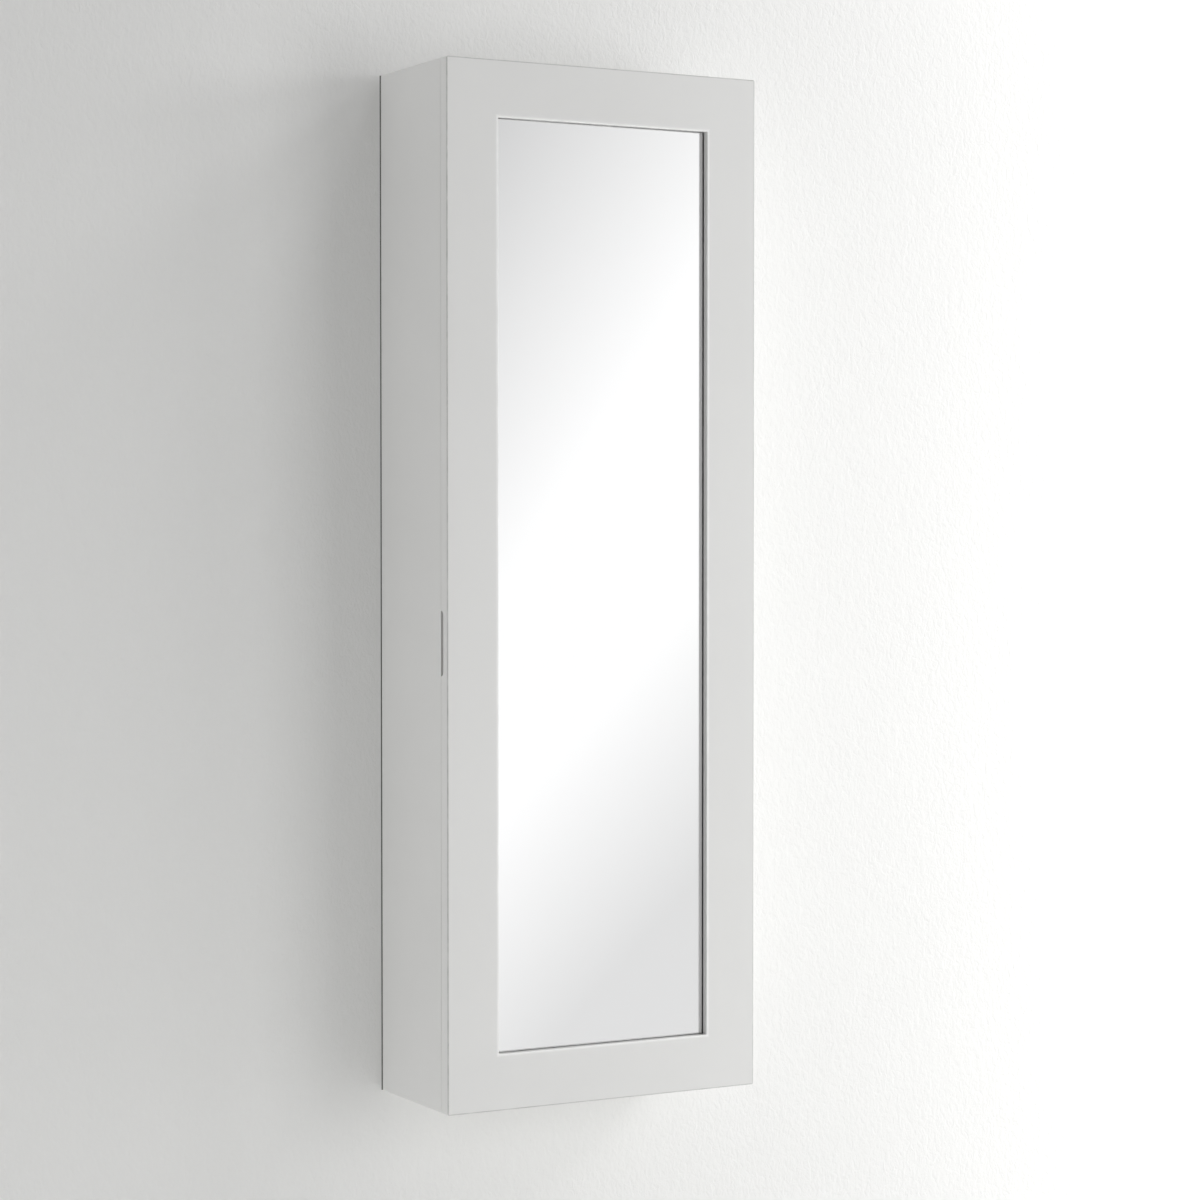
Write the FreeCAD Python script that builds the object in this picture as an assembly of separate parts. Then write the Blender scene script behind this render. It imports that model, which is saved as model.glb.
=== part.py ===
# Wall-hung jewellery cabinet with one mirror door. All sizes are in millimetres.
# +X is to the viewer's right, +Y goes into the wall and +Z is up. The origin lies in the
# plane of the cabinet's back edges, in the middle of its four wall-screw holes.

import FreeCAD
import Part
import os

V = FreeCAD.Vector
RIGHT = V(1, 0, 0)
BACK = V(0, 1, 0)
UP = V(0, 0, 1)

# Whole cabinet
width = 400.0
height = 1180.0
depth = 174.0               # from the wall plane to the front of the door
corner_round = 2.0          # the four outer corners, seen from the front
arris = 0.8                 # easing of the lacquered edges
past = 1.0                  # how far a cut runs past the face that it opens

# Case
board = 12.0                # sides, top and bottom
wall_rail_thick = 15.0
wall_rail_tall = 90.0
back_thick = 3.0
groove_deep = 5.0           # grooves that hold the back panel
groove_play = 0.2
lining_thick = 1.5
lining_play = 0.5
wall_screw_r = 3.0
wall_screw_x = 150.0
wall_screw_down = 37.0      # from the cabinet's top, and up from its bottom
access_r = 8.0              # opening in panel and lining for the wall screw's head

# Door frame and mirror
door_thick = 16.0
seam_gap = 0.5              # between the case's front edges and the back of the door
frame_wide = 64.0
lip = 8.0                   # frame in front of the glass
glass_thick = 3.0
glass_seat = 9.0            # width of the rebate behind the opening
glass_play = 1.0
backing_thick = 3.0
backing_step = 8.0          # width of the second rebate, for the backing
backing_play = 0.4

# Finger pull
pull_long = 73.0
pull_deep = 5.5
pull_in = 15.0
pull_round = 5.0
pull_drop = 62.0            # from the middle of the door down to the middle of the pull

# Dowels
dowel_r = 3.0
dowel_long = 30.0
dowel_in_board = 8.0        # how far a case dowel reaches into a side
door_dowel_long = 40.0
door_dowel_in = (16.0, 36.0)    # from the door's top or bottom edge
dowel_play = 0.1            # radial
dowel_end = 1.0             # glue space past each end

# Butt hinges
hinge_long = 60.0
hinge_from_end = 110.0
hinge_flap = 10.0           # width of wood that a flap covers
hinge_leaf = 1.2
hinge_out = 3.0             # pin's axis, out from the cabinet's side
knuckle_r = 2.6
knuckles = 5
knuckle_gap = 0.2
leaf_relief = 0.3           # from a flap to the other flap's knuckles
pin_r = 1.25
pin_play = 0.05
pin_head_r = 2.2
pin_head_tall = 1.2
pin_head_play = 0.05        # between a head and the outer knuckle
mortise_play = 0.1
hinge_screw_pitch = 21.0

# Screws: head radius, shank radius, length
flap_screw = (2.7, 1.5, 12.0)
backing_screw = (2.4, 1.25, 11.0)
fitting_screw = (2.7, 1.5, 12.0)
rail_screw = (3.4, 1.75, 29.0)
strike_screw = (2.4, 1.25, 11.0)
screw_play = 0.05
screw_edge = 6.0            # a flap screw's line, in from the cabinet's side
backing_screw_rows = 5

# Magnetic catches
catch_from_end = 180.0
catch_in = 7.0              # middle of the magnet, from the side's inner face
catch_base = 3.0
catch_base_long = 46.0
catch_body = (12.0, 15.0, 26.0)     # out from the side, depth, length
catch_set_back = 1.0        # body behind the pole plates
catch_screw_pitch = 35.0
catch_round = 1.0
magnet = (3.2, 9.0, 20.0)   # thickness, depth, length
pole_thick = 1.2
strike = (11.0, 1.2, 38.0)
strike_screw_pitch = 28.0
strike_round = 2.0
strike_play = 0.3           # between pole plates and strike plate

# Shelves and fittings inside the case
shelf_thick = 10.0
shelf_play = 0.5
shelf_tops = (338.0, 538.0, 678.0)  # above the inside of the case's bottom
door_fittings_room = 8.0    # between the shelves and the bars on the door
shelf_pin_r = 2.5
shelf_pin_long = 15.0
shelf_pin_in = 8.0
shelf_pin_edge = 20.0       # from the shelf's front and back edges
guard_r = 2.5
guard_up = 28.0
guard_edge = 6.0            # from the shelf's front edge
guard_in = 6.0
peg_rail_side_room = 18.0   # from an end of the peg rail to the case's side
peg_rail_thick = 12.0
peg_rail_tall = 34.0
peg_rail_down = 65.0        # middle of the peg rail, from the inside of the case's top
peg_rail_round = 3.0
peg_pitch = 40.0
peg_margin = 20.0           # least wood between an outer peg and the rail's end
peg_neck_r = 2.2
peg_neck_long = 16.5
peg_bud_r = 4.5
peg_bud_long = 8.0
peg_bud_end_r = 2.5
peg_collar = (5.0, 2.0)     # radius, length
peg_stud = (1.6, 9.0)       # radius, length
peg_glue_room = 0.5
peg_rail_screw_in = 10.0    # outer screws, from the rail's ends; one more is in the middle

# Ring tray
roll_r = 9.8
roll_play = 0.4             # least room between two rolls
roll_end_play = 0.8
roll_flat = 0.5             # how much of a roll its own weight presses flat
tray_side_room = 13.2       # from an end of the tray to the case's side
tray_edge_room = 3.5        # from the tray to the shelf's front edge, and to the lining
tray_wall = 4.0
tray_floor = 4.0
tray_tall = 18.0
tray_round = 1.0

# Bracelet rod
rod_r = 6.0
rod_below_shelf = 55.0
rod_play = 0.2
rod_end_play = 0.5
cup_plate = (3.0, 20.0, 46.0)
cup_long = 10.0
cup_wall = 4.0
cup_up = 7.0                # cradle's arms above the rod's middle
cup_screw_pitch = 33.0
cup_flat = 1.0              # straight stretch at the end of the plate, each side of the middle

# Earring bars
bars = 4
bar_down = 200.0            # first bar, from the door's top edge
bar_pitch = 150.0
bar_thick = 2.5
bar_flange = 16.0
bar_out = 15.0
bar_end = 15.0              # how far a bar reaches onto the stiles, past the backing
bar_screw_in = 7.0
notch_pitch = 16.0
notch_wide = 2.4
notch_deep = 7.0
notch_margin = 20.0
bar_round = 2.0

# Worked out
half_w = width / 2
half_h = height / 2
inner_x = half_w - board
inner_z = half_h - board
door_front = -depth
door_back = door_front + door_thick
case_front = door_back + seam_gap
panel_face = -wall_rail_thick - back_thick
lining_face = panel_face - lining_thick
open_x = half_w - frame_wide
open_z = half_h - frame_wide
glass_front = door_front + lip
glass_back = glass_front + glass_thick
backing_front = door_back - backing_thick
backing_edge = glass_seat + backing_step - backing_play
bar_half = open_x + glass_seat + backing_step + bar_end
shelf_front = door_back + bar_out + door_fittings_room
pin_x = half_w + hinge_out
pin_y = (case_front + door_back) / 2
hinge_zs = (half_h - hinge_from_end, 0.0, hinge_from_end - half_h)
catch_zs = (half_h - catch_from_end, catch_from_end - half_h)
wall_screw_z = half_h - wall_screw_down
shelf_zs = [top - inner_z for top in shelf_tops]
peg_z = inner_z - peg_rail_down
peg_rail_half = inner_x - peg_rail_side_room
peg_pairs = int((peg_rail_half - peg_margin - peg_pitch / 2) / peg_pitch) + 1
tray_half = inner_x - tray_side_room
roll_half = tray_half - tray_wall - roll_end_play
rod_z = shelf_zs[0] - shelf_thick - rod_below_shelf
rod_y = (lining_face + shelf_front) / 2
bar_zs = [half_h - bar_down - n * bar_pitch for n in range(bars)]


def block(x, y, z):
    """Box between two values on each axis, given in any order."""
    x0, x1 = sorted(x)
    y0, y1 = sorted(y)
    z0, z1 = sorted(z)
    return Part.makeBox(x1 - x0, y1 - y0, z1 - z0, V(x0, y0, z0))


def rod(radius, start, along, length):
    return Part.makeCylinder(radius, length, start, along)


def outline(start, *steps):
    """Closed face in the XZ plane. A step is a point, or a (middle, end) pair for an arc."""
    edges = []
    here = V(start[0], 0, start[1])
    first = here
    for step in steps + (start,):
        if isinstance(step[0], tuple):
            middle, end = (V(x, 0, z) for x, z in step)
            edges.append(Part.Arc(here, middle, end).toShape())
        else:
            end = V(step[0], 0, step[1])
            edges.append(Part.makeLine(here, end))
        here = end
    assert here.isEqual(first, 1e-9)
    return Part.Face(Part.Wire(edges))


def turned(face, at, along):
    """Turns a face of (radius, distance) about its distance axis, and points that axis along."""
    solid = face.revolve(V(0, 0, 0), UP, 360)
    solid.Placement = FreeCAD.Placement(at, FreeCAD.Rotation(UP, along))
    return solid


def eased(shape, radius, chosen):
    """Rounds the edges for which chosen(edge's box) is true."""
    edges = [edge for edge in shape.Edges if chosen(edge.BoundBox)]
    return shape.makeFillet(radius, edges)


def near(a, b):
    return abs(a - b) < 1e-4


def along_y(box):
    return near(box.XLength, 0) and near(box.ZLength, 0)


def screw(size, at, along):
    """Countersunk screw whose head lies flush at the point it is driven from."""
    head_r, shank_r, length = size
    face = outline((0, 0), (head_r, 0), (shank_r, head_r - shank_r), (shank_r, length), (0, length))
    return turned(face, at, along)


def screw_hole(size, at, along):
    """What a screw needs cut away, open above its head."""
    head_r, shank_r, length = size
    wide = head_r + screw_play
    narrow = shank_r + screw_play
    face = outline((0, -past), (wide, -past), (wide, 0), (narrow, wide - narrow),
                   (narrow, length + screw_play), (0, length + screw_play))
    return turned(face, at, along)


def screws(size, places, along):
    return Part.makeCompound([screw(size, at, along) for at in places])


def screw_holes(size, places, along):
    return [screw_hole(size, at, along) for at in places]


# Places that more than one piece shares

def case_dowels():
    """Start and direction of each dowel that joins a side to the top, bottom and wall rails."""
    case_deep = -case_front
    rows = [(y, z) for y in (-case_deep / 6, -case_deep / 2, -case_deep * 5 / 6)
            for z in (inner_z + board / 2, -inner_z - board / 2)]
    rail_mid = inner_z - wall_rail_tall / 2
    rows += [(-wall_rail_thick / 2, sign * (rail_mid + shift))
             for sign in (1, -1) for shift in (-wall_rail_tall / 4, wall_rail_tall / 4)]
    return [(V(side * (inner_x + dowel_in_board), y, z), V(-side, 0, 0))
            for side in (1, -1) for y, z in rows]


def door_dowels():
    """Start and direction of each dowel that joins a stile to a rail of the door."""
    middle_y = (door_front + door_back) / 2
    return [(V(side * (open_x + door_dowel_long / 2), middle_y, end * (half_h - step)), V(-side, 0, 0))
            for side in (1, -1) for end in (1, -1) for step in door_dowel_in]


def dowel_set(places, length):
    return Part.makeCompound([rod(dowel_r, at, along, length) for at, along in places])


def dowel_holes(places, length):
    return [rod(dowel_r + dowel_play, at - along * dowel_end, along, length + 2 * dowel_end)
            for at, along in places]


def flap_screw_places(face_y):
    return [V(half_w - screw_edge, face_y, z + step * hinge_screw_pitch)
            for z in hinge_zs for step in (-1, 0, 1)]


def backing_screw_places():
    """Down both long sides of the backing, and one in the middle of each short side."""
    x = open_x + glass_seat + backing_step / 2
    z = open_z + glass_seat + backing_step / 2
    pitch = 2 * (z - backing_step) / (backing_screw_rows - 1)
    rows = [backing_step - z + n * pitch for n in range(backing_screw_rows)]
    places = [V(side * x, door_back, row) for side in (1, -1) for row in rows]
    return places + [V(0, door_back, side * z) for side in (1, -1)]


def bar_screw_places():
    return [V(side * (bar_half - bar_screw_in), door_back + bar_thick, z - bar_flange / 2)
            for z in bar_zs for side in (1, -1)]


def strike_screw_places():
    x = -inner_x + catch_in
    return [V(x, door_back + strike[1], z + side * strike_screw_pitch / 2)
            for z in catch_zs for side in (1, -1)]


def catch_screw_places():
    y = door_back + strike[1] + strike_play + catch_set_back + catch_body[1] / 2
    return [V(-inner_x + catch_base, y, z + side * catch_screw_pitch / 2)
            for z in catch_zs for side in (1, -1)]


def cup_screw_places(side):
    return [V(side * (inner_x - cup_plate[0]), rod_y, rod_z + step * cup_screw_pitch / 2)
            for step in (1, -1)]


def peg_rail_screw_places():
    outer = peg_rail_half - peg_rail_screw_in
    return [V(x, lining_face - peg_rail_thick, peg_z) for x in (-outer, 0, outer)]


def wall_screw_places():
    return [V(side * wall_screw_x, 0, end * wall_screw_z) for side in (1, -1) for end in (1, -1)]


def shelf_pin_places(side):
    """Blind end of each shelf pin in a side."""
    ys = (shelf_front + shelf_pin_edge, lining_face - shelf_pin_edge)
    return [V(side * (inner_x + shelf_pin_in), y, z - shelf_thick - shelf_pin_r)
            for z in shelf_zs for y in ys]


def guard_places():
    """Left end of each guard rod: over the case's bottom and the lowest shelf."""
    floors = (-inner_z, shelf_zs[0])
    return [V(-inner_x - guard_in, shelf_front + guard_edge, floor + guard_up) for floor in floors]


# Case

def hinge_mortise(face_y, into_y, z):
    return block((half_w - hinge_flap - mortise_play, half_w + past), (face_y, into_y),
                 (z - hinge_long / 2 - mortise_play, z + hinge_long / 2 + mortise_play))


def case_side(side):
    shape = block((side * half_w, side * inner_x), (case_front, 0), (-half_h, half_h))
    shape = eased(shape, corner_round, lambda box: along_y(box) and near(box.XMin, side * half_w))
    cuts = dowel_holes(case_dowels(), dowel_long)
    cuts.append(block((side * (inner_x + groove_deep), side * inner_x),
                      (panel_face - groove_play, -wall_rail_thick),
                      (-inner_z - groove_deep, inner_z + groove_deep)))
    cuts += [rod(shelf_pin_r + screw_play, at, V(-side, 0, 0), shelf_pin_in)
             for at in shelf_pin_places(side)]
    cuts += [rod(guard_r + screw_play, at - RIGHT * screw_play, RIGHT, 2 * (inner_x + guard_in + screw_play))
             for at in guard_places()]
    cuts += screw_holes(fitting_screw, cup_screw_places(side), V(side, 0, 0))
    if side > 0:
        cuts += [hinge_mortise(case_front - past, case_front + hinge_leaf, z) for z in hinge_zs]
        cuts += screw_holes(flap_screw, flap_screw_places(case_front), BACK)
    else:
        cuts += screw_holes(fitting_screw, catch_screw_places(), -RIGHT)
    return shape.cut(cuts)


def case_end(end):
    """Top or bottom board, between the sides."""
    shape = block((-inner_x, inner_x), (case_front, 0), (end * inner_z, end * half_h))
    groove = block((-inner_x, inner_x), (panel_face - groove_play, -wall_rail_thick),
                   (end * inner_z, end * (inner_z + groove_deep)))
    return shape.cut([groove] + dowel_holes(case_dowels(), dowel_long))


def wall_rail(end):
    shape = block((-inner_x, inner_x), (-wall_rail_thick, 0),
                  (end * inner_z, end * (inner_z - wall_rail_tall)))
    cuts = dowel_holes(case_dowels(), dowel_long)
    cuts += [rod(wall_screw_r, at - BACK * depth, BACK, 2 * depth) for at in wall_screw_places()]
    cuts += screw_holes(rail_screw, peg_rail_screw_places(), BACK)
    return shape.cut(cuts)


def back_board(reach, front, back):
    """Sheet behind the inside of the case, with room for the wall screws' heads."""
    shape = block((-inner_x - reach, inner_x + reach), (front, back), (-inner_z - reach, inner_z + reach))
    cuts = [rod(access_r, at - BACK * depth, BACK, 2 * depth) for at in wall_screw_places()]
    cuts += screw_holes(rail_screw, peg_rail_screw_places(), BACK)
    return shape.cut(cuts)


# Door

def door_ring():
    """The whole lacquered frame, before it is split into stiles and rails."""
    ring = block((-half_w, half_w), (door_front, door_back), (-half_h, half_h))
    ring = eased(ring, corner_round, along_y)
    through = block((-open_x, open_x), (door_front - past, door_back + past), (-open_z, open_z))
    ring = ring.cut(through)
    ring = eased(ring, arris, lambda box: near(box.YMin, door_front) and near(box.YLength, 0))
    cuts = []
    for reach, front in ((glass_seat, glass_front), (glass_seat + backing_step, backing_front)):
        cuts.append(block((-open_x - reach, open_x + reach), (front, door_back + past),
                          (-open_z - reach, open_z + reach)))
    cuts.append(finger_pull())
    cuts += [hinge_mortise(door_back + past, door_back - hinge_leaf, z) for z in hinge_zs]
    cuts += dowel_holes(door_dowels(), door_dowel_long)
    cuts += screw_holes(flap_screw, flap_screw_places(door_back), -BACK)
    cuts += screw_holes(backing_screw, backing_screw_places(), -BACK)
    cuts += screw_holes(fitting_screw, bar_screw_places(), -BACK)
    cuts += screw_holes(strike_screw, strike_screw_places(), -BACK)
    return ring.cut(cuts)


def finger_pull():
    """Scoop in the door's back left edge, with every corner as round as its cutter."""
    room = 2 * pull_round
    scoop = block((-half_w - room, -half_w + pull_in), (door_back - pull_deep, door_back + room),
                  (-pull_drop - pull_long / 2, -pull_drop + pull_long / 2))
    return scoop.makeFillet(pull_round - 0.01, scoop.Edges)


def door_stile(ring, side):
    return ring.common(block((side * open_x, side * half_w), (door_front, door_back), (-half_h, half_h)))


def door_rail(ring, end):
    return ring.common(block((-open_x, open_x), (door_front, door_back), (end * open_z, end * half_h)))


def door_sheet(reach, front, back):
    """Glass, pad or backing: a sheet that reaches past the opening on all sides."""
    return block((-open_x - reach, open_x + reach), (front, back), (-open_z - reach, open_z + reach))


def mirror_backing():
    sheet = door_sheet(backing_edge, backing_front, door_back)
    return sheet.cut(screw_holes(backing_screw, backing_screw_places(), -BACK))


# Hinges

def hinge_flap_leaf(middle_z, face_y, into_y, first):
    """One leaf with its knuckles: first is 0 for the outer knuckles and 1 for those between."""
    low = middle_z - hinge_long / 2
    share = hinge_long / knuckles
    leaf = block((half_w - hinge_flap, pin_x), (face_y, into_y), (low, low + hinge_long))
    for n in range(knuckles):
        if n % 2 == first:
            continue
        leaf = leaf.cut(rod(knuckle_r + leaf_relief, V(pin_x, pin_y, low + n * share), UP, share))
    for n in range(first, knuckles, 2):
        start = low + n * share + knuckle_gap / 2
        leaf = leaf.fuse(rod(knuckle_r, V(pin_x, pin_y, start), UP, share - knuckle_gap))
    cuts = [rod(pin_r + pin_play, V(pin_x, pin_y, low - past), UP, hinge_long + 2 * past)]
    cuts += screw_holes(flap_screw, flap_screw_places(face_y), V(0, into_y - face_y, 0))
    return leaf.cut(cuts).removeSplitter()


def hinge_pin(middle_z):
    half = hinge_long / 2 + pin_head_play
    end = half + pin_head_tall
    face = outline((0, -end), (pin_r, -end), (pin_head_r, -half), (pin_r, -half),
                   (pin_r, half), (pin_head_r, half), (pin_r, end), (0, end))
    return turned(face, V(pin_x, pin_y, middle_z), UP)


# Magnetic catches

def catch_face_y():
    """Front of the pole plates, just behind the strike plate when the door is shut."""
    return door_back + strike[1] + strike_play


def catch_housing(z):
    out, deep, long = catch_body
    front = catch_face_y() + catch_set_back
    wall = -inner_x
    plate = block((wall, wall + catch_base), (front, front + deep),
                  (z - catch_base_long / 2, z + catch_base_long / 2))
    body = block((wall, wall + out), (front, front + deep), (z - long / 2, z + long / 2))
    shape = plate.fuse(body).removeSplitter()
    shape = eased(shape, catch_round, lambda box: near(box.XMin, wall + out) and near(box.XLength, 0))
    half = magnet[0] / 2 + pole_thick + screw_play
    pocket = block((wall + catch_in - half, wall + catch_in + half),
                   (front - past, front - catch_set_back + magnet[1]),
                   (z - magnet[2] / 2 - screw_play, z + magnet[2] / 2 + screw_play))
    return shape.cut([pocket] + screw_holes(fitting_screw, catch_screw_places(), -RIGHT))


def catch_magnet(z):
    """Magnet between two steel pole plates that stand out a little further."""
    middle = -inner_x + catch_in
    face = catch_face_y()
    zs = (z - magnet[2] / 2, z + magnet[2] / 2)
    back = face + magnet[1]
    solids = [block((middle - magnet[0] / 2, middle + magnet[0] / 2), (face + catch_set_back, back), zs)]
    for side in (1, -1):
        inner = middle + side * magnet[0] / 2
        solids.append(block((inner, inner + side * pole_thick), (face, back), zs))
    return Part.makeCompound(solids)


def strike_plate(z):
    wide, thick, long = strike
    middle = -inner_x + catch_in
    plate = block((middle - wide / 2, middle + wide / 2), (door_back, door_back + thick),
                  (z - long / 2, z + long / 2))
    plate = eased(plate, strike_round, along_y)
    return plate.cut(screw_holes(strike_screw, strike_screw_places(), -BACK))


# Inside the case

def shelf(z):
    shape = block((shelf_play - inner_x, inner_x - shelf_play), (shelf_front, lining_face),
                  (z - shelf_thick, z))
    return eased(shape, arris, lambda box: near(box.YMax, shelf_front) and box.XLength > board)


def shelf_pins():
    return Part.makeCompound([rod(shelf_pin_r, at, V(-side, 0, 0), shelf_pin_long)
                              for side in (1, -1) for at in shelf_pin_places(side)])


def guard_rod(at):
    return rod(guard_r, at, RIGHT, 2 * (inner_x + guard_in))


def necklace_rail():
    front = lining_face - peg_rail_thick
    shape = block((-peg_rail_half, peg_rail_half), (front, lining_face),
                  (peg_z - peg_rail_tall / 2, peg_z + peg_rail_tall / 2))
    shape = eased(shape, peg_rail_round, lambda box: near(box.YMax, front))
    stud_r, stud_long = peg_stud
    cuts = [rod(stud_r + screw_play, at, BACK, stud_long + peg_glue_room) for at in peg_places()]
    cuts += screw_holes(rail_screw, peg_rail_screw_places(), BACK)
    return shape.cut(cuts)


def peg_places():
    """In pairs about the rail's middle, so that the middle screw lies between two pegs."""
    return [V(side * (n + 0.5) * peg_pitch, lining_face - peg_rail_thick, peg_z)
            for side in (-1, 1) for n in range(peg_pairs)]


def necklace_pegs():
    """Turned pegs: a stud in the rail, a collar, a neck and a bud that keeps chains on."""
    stud_r, stud_long = peg_stud
    collar_r, collar_long = peg_collar
    bud = collar_long + peg_neck_long
    face = outline((0, -stud_long), (stud_r, -stud_long), (stud_r, 0), (collar_r, 0),
                   (peg_neck_r, collar_long), (peg_neck_r, bud), (peg_bud_r, bud + peg_bud_long / 2),
                   (peg_bud_end_r, bud + peg_bud_long), (0, bud + peg_bud_long))
    return Part.makeCompound([turned(face, at, -BACK) for at in peg_places()])


def ring_tray():
    front = shelf_front + tray_edge_room + tray_wall
    back = lining_face - tray_edge_room - tray_wall
    floor = shelf_zs[1]
    top = floor + tray_tall
    inside = tray_half - tray_wall
    shape = block((-tray_half, tray_half), (front - tray_wall, back + tray_wall), (floor, top))
    shape = shape.cut(block((-inside, inside), (front, back), (floor + tray_floor, top + past)))
    return eased(shape, tray_round, lambda box: near(box.ZMin, top) and near(box.ZLength, 0))


def ring_rolls():
    """As many soft rolls side by side as the tray takes, each flat where it lies on its floor."""
    front = shelf_front + tray_edge_room + tray_wall
    inside = lining_face - shelf_front - 2 * (tray_edge_room + tray_wall)
    count = int((inside - roll_play) / (2 * roll_r + roll_play))
    floor = shelf_zs[1] + tray_floor
    rolls = []
    for n in range(count):
        y = front + inside * (n + 0.5) / count
        roll = rod(roll_r, V(-roll_half, y, floor - roll_flat + roll_r), RIGHT, 2 * roll_half)
        rolls.append(roll.cut(block((-tray_half, tray_half), (y - roll_r, y + roll_r),
                                    (floor - past, floor))))
    return Part.makeCompound(rolls)


def bracelet_rod():
    half = inner_x - cup_plate[0] - rod_end_play
    return rod(rod_r, V(-half, rod_y, rod_z), RIGHT, 2 * half)


def rod_cup(side):
    """Plate on the side with a cradle that the rod drops into from above."""
    thick, wide, tall = cup_plate
    wall = side * inner_x
    plate_face = side * (inner_x - thick)
    end = side * (inner_x - thick - cup_long)
    plate = block((wall, plate_face), (rod_y - wide / 2, rod_y + wide / 2), (rod_z - tall / 2, rod_z + tall / 2))
    plate = eased(plate, wide / 2 - cup_flat, lambda box: near(box.YLength, 0) and near(box.ZLength, 0))
    outer = rod_r + rod_play + cup_wall
    slot = rod_r + rod_play
    cradle = rod(outer, V(min(plate_face, end), rod_y, rod_z), RIGHT, cup_long)
    cradle = cradle.fuse(block((plate_face, end), (rod_y - outer, rod_y + outer), (rod_z, rod_z + cup_up)))
    cradle = cradle.common(block((plate_face, end), (rod_y - outer, rod_y + outer),
                                 (rod_z - outer, rod_z + cup_up)))
    bore = rod(slot, V(min(plate_face, end), rod_y, rod_z), RIGHT, cup_long)
    mouth = block((plate_face, end), (rod_y - slot, rod_y + slot), (rod_z, rod_z + cup_up + past))
    shape = plate.fuse(cradle.cut([bore, mouth])).removeSplitter()
    return shape.cut(screw_holes(fitting_screw, cup_screw_places(side), V(side, 0, 0)))


def earring_bar(z):
    """Angle bar: a flange on the stiles, and a ledge whose inner edge is notched."""
    back = door_back
    flange = block((-bar_half, bar_half), (back, back + bar_thick), (z - bar_flange, z))
    ledge = block((-bar_half, bar_half), (back, back + bar_out), (z - bar_thick, z))
    shape = flange.fuse(ledge).removeSplitter()
    shape = eased(shape, bar_round, lambda box: near(box.YMin, back + bar_out) and near(box.XLength, 0))
    reach = bar_half - notch_margin
    count = int(2 * reach / notch_pitch) + 1
    first = -notch_pitch * (count - 1) / 2
    inner = back + bar_out
    cuts = []
    for n in range(count):
        x = first + n * notch_pitch
        cuts.append(block((x - notch_wide / 2, x + notch_wide / 2), (inner - notch_deep, inner + past),
                          (z - bar_thick - past, z + past)))
    cuts += screw_holes(fitting_screw, bar_screw_places(), -BACK)
    return shape.cut(cuts)


def save(name, shape):
    shape.exportStep("parts/" + name + ".step")


os.makedirs("parts", exist_ok=True)

# Case
save("case_left_side", case_side(-1))
save("case_right_side", case_side(1))
save("case_top", case_end(1))
save("case_bottom", case_end(-1))
save("wall_rail_upper", wall_rail(1))
save("wall_rail_lower", wall_rail(-1))
save("back_panel", back_board(groove_deep - groove_play, panel_face, -wall_rail_thick))
save("case_lining", back_board(-lining_play, lining_face, panel_face))
save("case_dowels", dowel_set(case_dowels(), dowel_long))

# Door
ring = door_ring()
save("door_stile_left", door_stile(ring, -1))
save("door_stile_right", door_stile(ring, 1))
save("door_rail_top", door_rail(ring, 1))
save("door_rail_bottom", door_rail(ring, -1))
save("door_dowels", dowel_set(door_dowels(), door_dowel_long))
save("mirror_glass", door_sheet(glass_seat - glass_play, glass_front, glass_back))
save("mirror_pad", door_sheet(glass_seat - glass_play, glass_back, backing_front))
save("mirror_backing", mirror_backing())
save("backing_screws", screws(backing_screw, backing_screw_places(), -BACK))

# Hinges and catches
for place, z in zip(("upper", "middle", "lower"), hinge_zs):
    save("hinge_" + place + "_case_leaf", hinge_flap_leaf(z, case_front, case_front + hinge_leaf, 0))
    save("hinge_" + place + "_door_leaf", hinge_flap_leaf(z, door_back, door_back - hinge_leaf, 1))
    save("hinge_" + place + "_pin", hinge_pin(z))
save("hinge_case_screws", screws(flap_screw, flap_screw_places(case_front), BACK))
save("hinge_door_screws", screws(flap_screw, flap_screw_places(door_back), -BACK))
for place, z in zip(("upper", "lower"), catch_zs):
    save("catch_" + place + "_housing", catch_housing(z))
    save("catch_" + place + "_magnet", catch_magnet(z))
    save("strike_plate_" + place, strike_plate(z))
save("catch_screws", screws(fitting_screw, catch_screw_places(), -RIGHT))
save("strike_screws", screws(strike_screw, strike_screw_places(), -BACK))

# Fittings
for number, z in enumerate(shelf_zs, 1):
    save("shelf_" + str(number), shelf(z))
save("shelf_pins", shelf_pins())
for number, at in enumerate(guard_places(), 1):
    save("guard_rod_" + str(number), guard_rod(at))
save("peg_rail", necklace_rail())
save("peg_rail_screws", screws(rail_screw, peg_rail_screw_places(), BACK))
save("necklace_pegs", necklace_pegs())
save("ring_tray", ring_tray())
save("ring_rolls", ring_rolls())
save("bracelet_rod", bracelet_rod())
save("rod_cup_left", rod_cup(-1))
save("rod_cup_right", rod_cup(1))
save("rod_cup_screws", Part.makeCompound([screw(fitting_screw, at, V(side, 0, 0))
                                          for side in (1, -1) for at in cup_screw_places(side)]))
for number, z in enumerate(bar_zs, 1):
    save("earring_bar_" + str(number), earring_bar(z))
save("earring_bar_screws", screws(fitting_screw, bar_screw_places(), -BACK))
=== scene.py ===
"""Looks of a wall-hung jewellery cabinet with one mirror door, dressed round its fixed frame.

Metres, +X to the viewer's right, +Y into the wall, +Z up. The file follows the cabinet as it is
put together: case, back, door, mirror, hinges and catches, fittings, screws, and then the studio.
"""

import math
import random

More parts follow.
